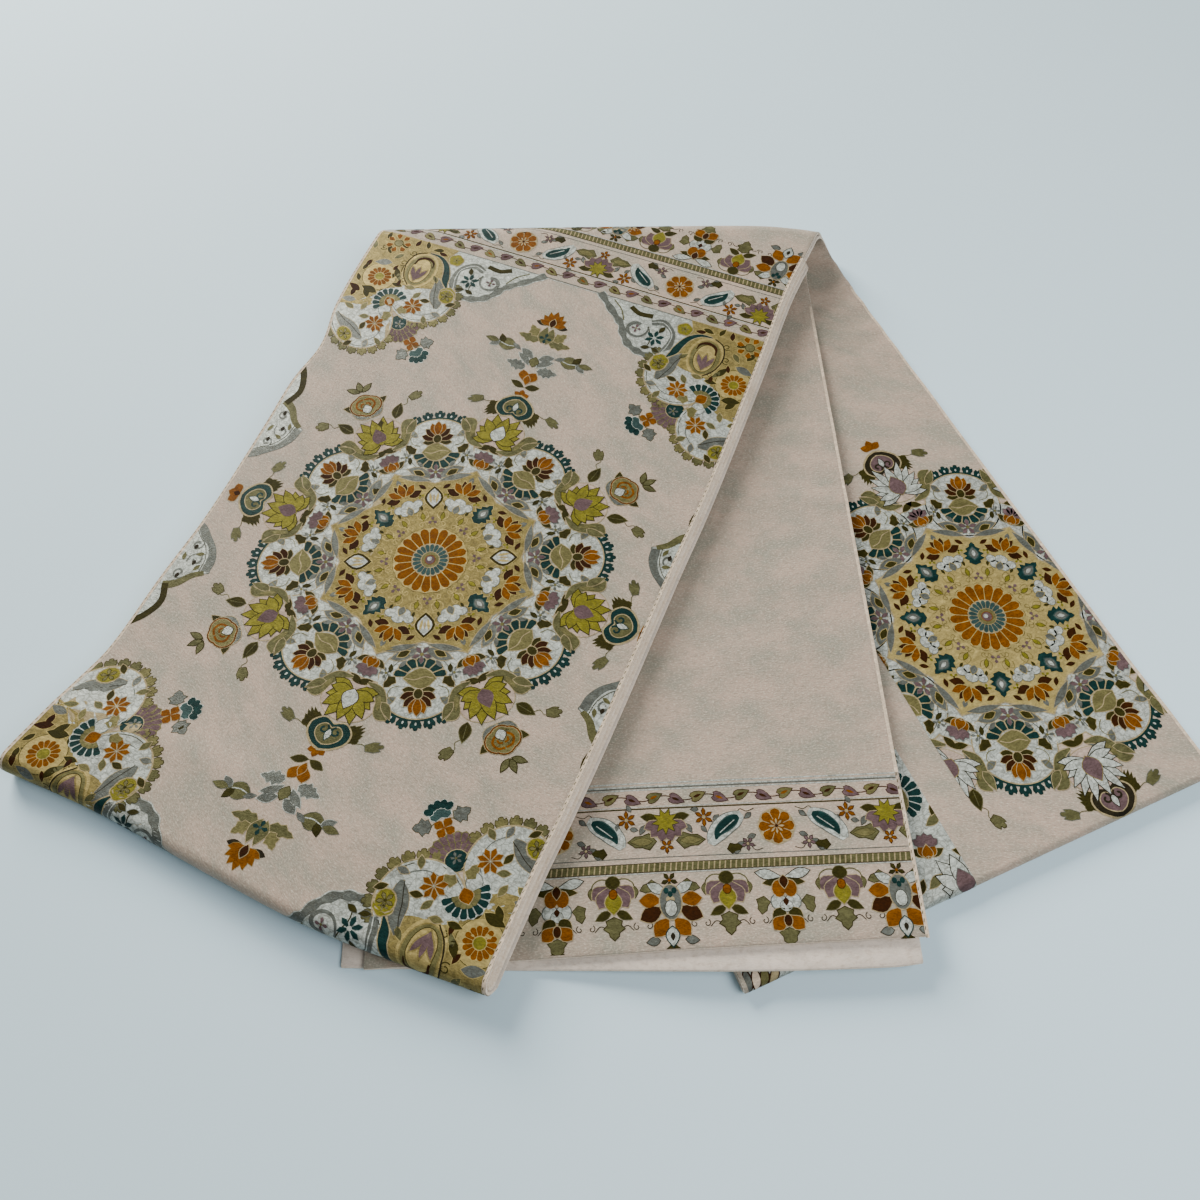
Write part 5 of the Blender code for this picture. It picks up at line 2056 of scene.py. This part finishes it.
@dataclass(frozen=True)
class Border:
    """Woven border across the cloth, drawn outwards from the field.

    Attributes:
        period: length of its repeat across the cloth.
        middle: where one of its rosettes stands.
        start: distance from the pen's origin to the vine's middle.
        pitch: distance between two pendants.
        half_width: half the length of the lines that cross the cloth.
    """

    period: float = 127.0
    middle: float = 80.0
    start: float = 7.0
    pitch: float = 31.75
    half_width: float = 158.0

    def repeats(self, offset: float) -> Iterable[float]:
        """Give the places of one motif in each repeat that reaches the cloth."""
        for index in range(-3, 3):
            place = self.middle + offset + self.period * index
            if abs(place) < self.half_width + 20:
                yield place

    def rule(self, pen: Pen, y: float, width: float, ink: Ink, level: int = 2) -> None:
        """Draw a line across the cloth."""
        pen.line(np.linspace(-self.half_width, self.half_width, 24) + 1j * y, width, ink, level)

    def draw_vine(self, pen: Pen) -> None:
        """Draw the narrow stripe with its waving vine and lobed leaves."""
        for y, ink in ((self.start - 6.6, GREY), (self.start + 5.9, OLIVE)):
            self.rule(pen, y, 0.8, ink)
            self.rule(pen, y - 1.1, 0.5, SILVER)
        across = np.linspace(-self.half_width, self.half_width, 170)
        step = self.pitch * 0.4
        wave = 1.5 * np.cos(np.pi * (across - self.middle) / step)
        pen.line(across + 1j * (self.start + wave), 0.6, BROWN, 2)
        for index in range(-19, 8):
            x = self.middle + (index + 0.5) * step
            side = -1 if index % 2 == 0 else 1
            bud = pen.at(x + 1, self.start + 0.9 * side, 90 - 22 * side)
            ink = (BEIGE, MAUVE, LEAF, MAUVE)[index % 4]
            bud.at(0, -4.4).fill(heart_leaf(9.2, 5.8), ink, 3, BROWN, 0.35)
            bud.at(0, -3).fill(leaf(5, 1.6), ORANGE if index % 3 == 0 else BROWN, 5)

    def draw_flowers(self, pen: Pen) -> None:
        """Draw the band of rosettes, lotuses and paisleys."""
        centre = self.start + 19.2
        for x in self.repeats(0):
            bloom = pen.at(x, centre)
            bloom.fill(scallops(10.9, 1.6, 8), BROWN, 4)
            rosette(bloom, 8, 3, 10.4, ORANGE, CREAM, 5)
            bloom.fill(disc(8.6), ORANGE, 9)
            small_flower(bloom, 8, 4.6, CREAM, BROWN, 11)
            for half in bloom.both():
                self.draw_filler(half)
        for x in self.repeats(-self.period / 2):
            self.draw_lotus(pen.at(x, centre - 11.5))
        for mirrored in (False, True):
            side = 1 if mirrored else -1
            for x in self.repeats(29 * side):
                paisley(pen.at(x, centre, mirrored=mirrored), 4)
            for x in self.repeats(41.5 * side):
                small_flower(pen.at(x, centre - 7), 6, 5.2, ORANGE, CREAM, 5, BROWN)
                for angle in (-70, 20, 150):
                    pen.at(x, centre - 7, angle * side).at(0, 5.6, 60).fill(
                        leaf(4.6, 2.6), GREY, 4, DARK, 0.25)

    def draw_filler(self, half: Pen) -> None:
        """Draw the small leaves, curls and flowers beside a rosette."""
        small_flower(half.at(17.5, 9.6), 5, 3.8, MAUVE, CREAM, 4, DARK)
        half.at(29.5, 12.2, 262).fill(toothed(9, 5.6, 1), OLIVE, 4, DARK, 0.3)
        for x, y, turn in ((14, -8.5, 50), (18.5, -5.5, 120), (12.6, 4.5, 70), (22, 13, 80), (24, 11, 240)):
            half.at(x, y, turn).fill(leaf(5, 2.8), GREY, 3, DARK, 0.3)
        half.line(curve(9 + 12.5j, 13 + 13.5j, 15 + 11.5j, 12.8 + 10.5j), 0.45, DARK, 3)
        half.line(curve(12 - 11j, 16.5 - 9.5j, 20 - 11j, 22.5 - 8.5j), 0.45, OLIVE, 3)

    def draw_lotus(self, pen: Pen) -> None:
        """Draw a mauve lotus with its yellow crown and broad leaves."""
        pen.twice(
            (4, 3.4, 78, leaf(9.6, 5.2, 0.5, 2.6), OLIVE, 3, LEAF, 0.4),
            (6, 17.5, 90, toothed(16, 8.6, 1), LEAF, 4, OLIVE, 0.5),
            (8, 17.5, 90, leaf(12.5, 4.4), BEIGE, 6, OLIVE, 0.25),
            (12, 8, 30, leaf(6, 3), GREY, 3, DARK, 0.3))
        for angle in (-68, 68, -41, 41, -14, 14):
            pen.at(0, 5, angle).fill(leaf(13.2, 6, 0.68), MAUVE, 5, CREAM, 0.4)
        pen.at(0, 6).fill(star(7.6, 4.2, 9), YELLOW, 8, OLIVE, 0.4)
        small_flower(pen.at(0, 20.6), 5, 3.8, ORANGE, CREAM, 6, BROWN)

    def draw_ladder(self, pen: Pen) -> None:
        """Draw the ladder stripe between the flowers and the pendants."""
        centre = self.start + 40
        self.rule(pen, centre - 5.6, 0.5, GREY)
        self.rule(pen, centre, 5.4, DARK)
        self.rule(pen, centre, 4.5, CREAM, 3)
        for x in np.arange(-self.half_width, self.half_width, 3.1):
            pen.at(x, centre).fill(np.array([-0.6 - 2.2j, 1.7 - 2.2j, 1.1 + 2.2j, -1.2 + 2.2j]), LEAF, 4)
        self.rule(pen, centre + 3.2, 0.5, SILVER, 5)

    def draw_pendants(self, pen: Pen) -> None:
        """Draw the row of pendants, in turn a bud, a bell, a large lotus and a bell."""
        for index in range(-8, 8):
            x = self.middle + self.pitch * index
            if abs(x) > self.half_width + 14:
                continue
            pendant = pen.at(x, self.start + 44)
            (self.draw_bud, self.draw_bell, self.draw_large, self.draw_bell)[index % 4](pendant)
            for half in pendant.both():
                half.line(curve(3 + 29j, 7.5 + 27j, 10.8 + 29.8j), 0.5, DARK, 2)
                half.at(12.6, 28).line(spiral(2.2, 0.9, 0.6, 200, 10), 0.5, DARK, 2)

    def draw_bud(self, pen: Pen) -> None:
        """Draw the slim pendant of orange and silver petals."""
        pen.twice(
            (1, 6.6, 84, leaf(11, 4.6), OLIVE, 3, CREAM, 0.3),
            (0.6, 4.6, 102, leaf(15, 5.4, 0.6), SILVER, 4, DARK, 0.5),
            (3.2, 11, 0, disc(7.4, 9.4, 12), ORANGE, 7, CREAM, 0.45),
            (4, 18.2, 0, disc(8.2, 8.6, 12), SILVER, 6, GREY, 0.6),
            (12, 15, 12, toothed(9.6, 7, 1), LEAF, 3, OLIVE, 0.4),
            (1.2, 21.8, 42, leaf(10.6, 7.4), OLIVE, 8, CREAM, 0.35),
            (0.6, 25.6, 46, leaf(10.8, 7.8, 0.6), ORANGE, 10, CREAM, 0.4))
        pen.put(
            (0, 3.6, 0, leaf(7.4, 4.8), BROWN, 10, CREAM, 0.4),
            (0, 20.5, 0, disc(7, 6, 10), SILVER, 8, GREY, 0.4),
            (0, 16, 0, leaf(4.6, 3.2), BROWN, 10),
            (0, 28.5, 0, disc(4.4, 6.4, 10), BROWN, 12, CREAM, 0.4),
            (0, 32.5, 0, toothed(9, 10, 1), LEAF, 5, OLIVE, 0.4))

    def draw_bell(self, pen: Pen) -> None:
        """Draw the mauve bell that hangs under an olive cap."""
        for half in pen.both():
            half.line(curve(1 + 2j, 7 + 1.4j, 11 + 3.6j, 12.2 + 6.6j), 0.7, LEAF, 2)
            half.put(
                (12.4, 6.2, 0, leaf(6, 3.4), LEAF, 3, OLIVE, 0.35),
                (1.8, 4.8, 54, leaf(12.4, 8.6, 0.62), MAUVE, 4, CREAM, 0.4),
                (1.4, 4.6, 28, leaf(14.4, 8.6, 0.62), MAUVE, 6, CREAM, 0.4),
                (1.5, 19.4, 64, leaf(9.6, 4.4), OLIVE, 5, LEAF, 0.4))
        pen.put(
            (0, 3.4, 0, disc(8, 7, 12), OLIVE, 7, LEAF, 0.4),
            (0, 7.6, 0, leaf(13.4, 9.6, 0.5), YELLOW, 9, CREAM, 0.5),
            (0, 9.8, 0, disc(4.4, 5.2, 10), ORANGE, 11, BROWN, 0.4),
            (0, 22.5, 0, toothed(12, 10, 2), LEAF, 6, OLIVE, 0.5))

    def draw_large(self, pen: Pen) -> None:
        """Draw the large pendant of orange wings round a grey bud."""
        pen.twice(
            (6.5, 5.6, 74, toothed(10.6, 6.4, 1), LEAF, 3, DARK, 0.4),
            (1.5, 11, 118, leaf(12.6, 5.4, 0.55), SILVER, 5, DARK, 0.4),
            (4.2, 15, 98, leaf(13.4, 8.2, 0.58, -1), ORANGE, 7, CREAM, 0.4),
            (4, 18.6, 66, leaf(14.6, 9, 0.56), BROWN, 6, CREAM, 0.4),
            (1.4, 24, 40, leaf(13, 8.8, 0.56), ORANGE, 8, CREAM, 0.4),
            (7, 36, 84, leaf(7.4, 4.4), GREY, 3, DARK, 0.4),
            (2.2, 9.4, 0, disc(3, 3.6, 8), TEAL, 13))
        small_flower(pen.at(0, 3.6), 5, 4.4, OLIVE, ORANGE, 5, DARK)
        pen.put(
            (0, 15.6, 0, disc(12, 19, 18), GREY, 11, CREAM, 0.6),
            (0, 19, 0, disc(6.4, 8.6, 12), SILVER, 13, DARK, 0.4),
            (0, 11.4, 0, disc(2.8, 3.6, 8), TEAL, 13),
            (0, 29, 0, leaf(10.4, 7), SILVER, 10, TEAL, 0.6),
            (0, 32, 0, leaf(4.6, 2.6), DARK, 12))

    def draw(self, pen: Pen) -> None:
        """Draw the whole border."""
        self.draw_vine(pen)
        self.draw_flowers(pen)
        self.draw_ladder(pen)
        self.draw_pendants(pen)


# ------------------------------------------------------------------ the woven lengths
@dataclass(frozen=True)
class FieldPattern:
    """Pattern of the left panel: a medallion, its corners and the border beyond.

    Attributes:
        centre: place of the medallion's middle on the cloth, across and along.
    """

    centre: tuple[float, float] = (5, 3)

    def weave(self, face: Face) -> Piece:
        """Weave the pattern into the left panel's face.

        Args:
            face: face that carries it.

        Returns:
            The pattern.
        """
        drawing = Drawing()
        pen = Pen(drawing).at(*self.centre)
        edge = Drawing()
        Border(middle=77, start=6.5).draw(Pen(edge).at(*self.centre).at(-2, 251.5))
        edge.stretch(1, 1.075, 1j * (self.centre[1] + 258))
        drawing.join(edge)
        for quarter in (pen, pen.at(0, 0, mirrored=True), pen.at(0, 0, 180),
                        pen.at(0, 0, 180, mirrored=True)):
            Corner().draw(quarter)
            SideCartouche().draw(quarter)
        middle = Drawing()
        Surround().draw(Pen(middle).at(*self.centre))
        Medallion().draw(Pen(middle).at(*self.centre))
        middle.stretch(1.02, 0.98, complex(*self.centre))
        drawing.join(middle)
        for half in (pen, pen.at(0, 0, 180)):
            Spray().draw(half)
        for side in (90, 270):
            bud = pen.at(0, 0, side).at(0, 147.5)
            for angle in (-50, 50, 0):
                bud.at(0, 0, angle).fill(leaf(9, 6.4, 0.6), ORANGE, 3, CREAM, 0.35)
            bud.fill(leaf(5, 4), BROWN, 6)
        drawing.trim(-PATTERN_EDGE, PATTERN_EDGE)
        for side in (-SEAM_EDGE, SEAM_EDGE):
            selvedge(Pen(drawing), side, -232, 345)
        # Steps are fine on the near roll and on the far loop.
        return drawing.weave("left_panel_pattern", face, (-209.5, -200, 250), (1.3, 4, 10, 3.4))


@dataclass(frozen=True)
class CutPattern:
    """Pattern of the right panel: a second medallion, cut short at a plain stripe.

    Attributes:
        centre: place of the medallion's middle on the cloth, across and along.
        cut: where the medallion is cut, and where the next one is cut beyond the stripe.
    """

    centre: tuple[float, float] = (90.9, 2.5)
    cut: tuple[float, float] = (13, -9.5)

    def weave(self, face: Face) -> Piece:
        """Weave the pattern into the right panel's face.

        Args:
            face: face that carries it.

        Returns:
            The pattern.
        """
        drawing = Drawing()
        pen = Pen(drawing).at(*self.centre)
        Surround().draw(pen, DARK)
        medallion = Medallion(buds=(TEAL,) * 8, lotus=SILVER, gems=False, lotus_ring=101,
                              ground=GOLD_LIGHT, swirl=GOLD)
        medallion.draw(pen)
        for angle in (-58, 58, 0):
            pen.at(0, 145.5, angle).fill(leaf(8.4, 5.6, 0.55), ORANGE, 3, CREAM, 0.3)
        drawing.trim(self.cut[0], PATTERN_EDGE)
        beyond = Drawing()
        self.draw_beyond(Pen(beyond))
        beyond.trim(-PATTERN_EDGE, self.cut[1])
        drawing.join(beyond)
        selvedge(Pen(drawing), 154.9, -140, 300, sewn=False)
        # Steps are fine on the near roll and follow the creases beyond it.
        return drawing.weave("right_panel_pattern", face, (-128, -60), (0.8, 6, 5))

    def draw_beyond(self, pen: Pen) -> None:
        """Draw the edge of the next medallion, beyond the plain stripe."""
        pen.fill(np.array([-60 - 150j, -9 - 150j, -9 - 52j, -24 - 46j, -60 - 30j]), SILVER, 0, CREAM, 0.6)
        half_fan(pen.at(-25, -78, 90), 8, 7.5, 15.5, 168, TEAL, SILVER, 4)
        pen.at(-25, -78).fill(disc(12, 19, 14), BEIGE, 8, CREAM, 0.5)
        half_fan(pen.at(-22, -54, 60), 6, 6, 11, 150, TEAL, SILVER, 4)
        carnation(pen.at(-27, -117, 20), 6)
        lotus(pen.at(-15, -146), 24, 26, SILVER, DARK, MAUVE, GREY, 8)
        pen.fill(np.array([-160 - 150j, -116 - 150j, -124 - 137j, -138 - 130j, -160 - 126j]), SILVER, 0,
                 BROWN, 1)
        for x, y, turn, ink in ((-151, -129, 190, GREY), (-145.5, -130, 196, COTTON),
                (-140, -131.5, 204, BEIGE), (-133.5, -133.5, 215, CREAM)):
            pen.at(x, y, turn).fill(leaf(14, 4.4, 0.5), ink, 4, BROWN, 0.8)
        for x, y, turn in (
                (-12, -96, 40), (-34, -98, 300), (-36, -126, 220), (-12, -118, 120), (-36, -64, 330)):
            pen.at(x, y, turn).fill(leaf(11, 5, 0.5, 2), OLIVE, 5, CREAM, 0.4)
        for x, y, turn in ((-18, -100, 80), (-40, -108, 20), (-24, -128, 260)):
            pen.at(x, y, turn).fill(leaf(12, 5.4, 0.5, -2), LEAF, 4, CREAM, 0.4)


@dataclass(frozen=True)
class EndPattern:
    """Pattern of the middle panel: three fine lines and the border at the sash's end.

    Attributes:
        foot: where the border starts along the cloth.
        lines: places of the fine lines.
        end: where the pattern stops at the end seam.
    """

    foot: float = -172.9
    lines: tuple[float, ...] = (-170.4, -172.4, -174.4)
    end: float = -264.6

    def weave(self, face: Face) -> Piece:
        """Weave the pattern into the middle panel's face.

        Args:
            face: face that carries it.

        Returns:
            The pattern.
        """
        drawing = Drawing()
        pen = Pen(drawing)
        border = Border(middle=80, period=128, pitch=32)
        for y in self.lines:
            border.rule(pen, y, 0.75, SILVER, 1)
        border.draw(pen.at(0, self.foot, 180, mirrored=True))
        for x in (16, 144, -48):
            pen.at(x, self.end - 1).fill(
                np.array([-5.5 + 0j, 5.5 + 0j, 1.2 + 3.4j, 0 + 6.5j, -1.2 + 3.4j]), OLIVE, 2)
        drawing.trim(-PATTERN_EDGE, PATTERN_EDGE)
        drawing.trim(self.end, 300, axis=1)
        selvedge(Pen(drawing), SEAM_EDGE, self.end, -170)
        selvedge(Pen(drawing), SEAM_EDGE, -170, 210, sewn=False)
        return drawing.weave("middle_panel_pattern", face, (), (10,))


# ------------------------------------------------------------------ studio
@dataclass(frozen=True)
class Studio:
    """Floor, lights and camera around the sash.

    Attributes:
        camera_place: place of the camera, in metres.
        camera_down: how far below level it looks, in degrees.
        camera_roll: how far it is rolled, in degrees.
        lens: focal length on a 36 mm sensor, in millimetres.
        floor_colour: sRGB hex colour of the floor.
    """

    camera_place: tuple[float, float, float] = (0.0034, -0.354, 0.5847)
    camera_down: float = 61.79322
    camera_roll: float = -2.42954
    lens: float = 29.928
    floor_colour: str = "#BBD5E1"

    def build(self) -> None:
        """Make the floor, the lights and the camera."""
        self.make_floor()
        self.make_light("window", (-1.4, 2.3, 1.35), 1.4, 235, "#FFFAF2")
        self.make_light("overhead", (0.65, -0.45, 0.95), 0.7, 12, "#FFFFFF")
        world = bpy.data.worlds.new("studio air")
        bpy.context.scene.world = world
        world.use_nodes = True
        background = world.node_tree.nodes["Background"]
        background.inputs["Color"].default_value = linear("#E9F1F6")
        background.inputs["Strength"].default_value = 0.24
        self.make_camera()

    def make_floor(self) -> None:
        """Make the pale floor."""
        shape = bmesh.new()
        bmesh.ops.create_grid(shape, x_segments=2, y_segments=2, size=4)
        mesh = bpy.data.meshes.new("floor")
        shape.to_mesh(mesh)
        shape.free()
        # Matt paper with a faint change of tone, so that the floor doesn't look flat.
        material = bpy.data.materials.new("seamless paper, pale blue-grey")
        nodes = Nodes(material)
        place = nodes.add("TexCoord").outputs["Object"]
        tone = nodes.add("TexNoise", {"Vector": place}, {"Scale": 2.2, "Detail": 2})
        nodes.feed(Base_Color=nodes.mix(tone.outputs["Fac"], linear(self.floor_colour),
                                        linear("#C2D9E4")))
        nodes.set(Roughness=0.85)
        mesh.materials.append(material)
        in_scene("floor", mesh)

    def make_light(self, name: str, place: tuple[float, float, float], size: float,
                   power: float, colour: str) -> None:
        """Make a soft square light that points at the sash.

        Args:
            name: name of the light.
            place: place of the light.
            size: side of the light.
            power: power in watts.
            colour: sRGB hex colour.
        """
        lamp = bpy.data.lights.new(name, "AREA")
        lamp.size = size
        lamp.energy = power
        lamp.color = linear(colour)[:3]
        light = in_scene(name, lamp)
        light.location = place
        light.rotation_euler = (-Vector(place)).to_track_quat("-Z", "Y").to_euler()

    def make_camera(self) -> None:
        """Make the camera."""
        down, roll = np.radians(self.camera_down), np.radians(self.camera_roll)
        forward = np.array([0, np.cos(down), -np.sin(down)])
        right, above = np.array([1, 0, 0]), np.array([0, np.sin(down), np.cos(down)])
        rolled_right = right * np.cos(roll) + above * np.sin(roll)
        rolled_above = above * np.cos(roll) - right * np.sin(roll)
        lens = bpy.data.cameras.new("camera")
        lens.lens, lens.sensor_width = self.lens, 36
        lens.clip_start, lens.clip_end = 0.02, 20
        camera = in_scene("camera", lens)
        turned = np.eye(4)
        turned[:3, 0], turned[:3, 1], turned[:3, 2] = rolled_right, rolled_above, -forward
        turned[:3, 3] = self.camera_place
        camera.matrix_world = Matrix(turned.tolist())
        bpy.context.scene.camera = camera


def main() -> None:
    """Build the sash's cloth, its pattern and the studio."""
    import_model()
    fan = Fan()
    Studio().build()
    LeftPanel(fan).build(FieldPattern().weave(LeftFace(fan)))
    HiddenLayers(fan).build()
    RightPanel(fan).build(CutPattern().weave(RightFace(fan)))
    MiddlePanel(fan).build(EndPattern().weave(MiddleFace(fan)))
    MiddleUnderPanel(fan).build()


if __name__ == "__main__":
    main()
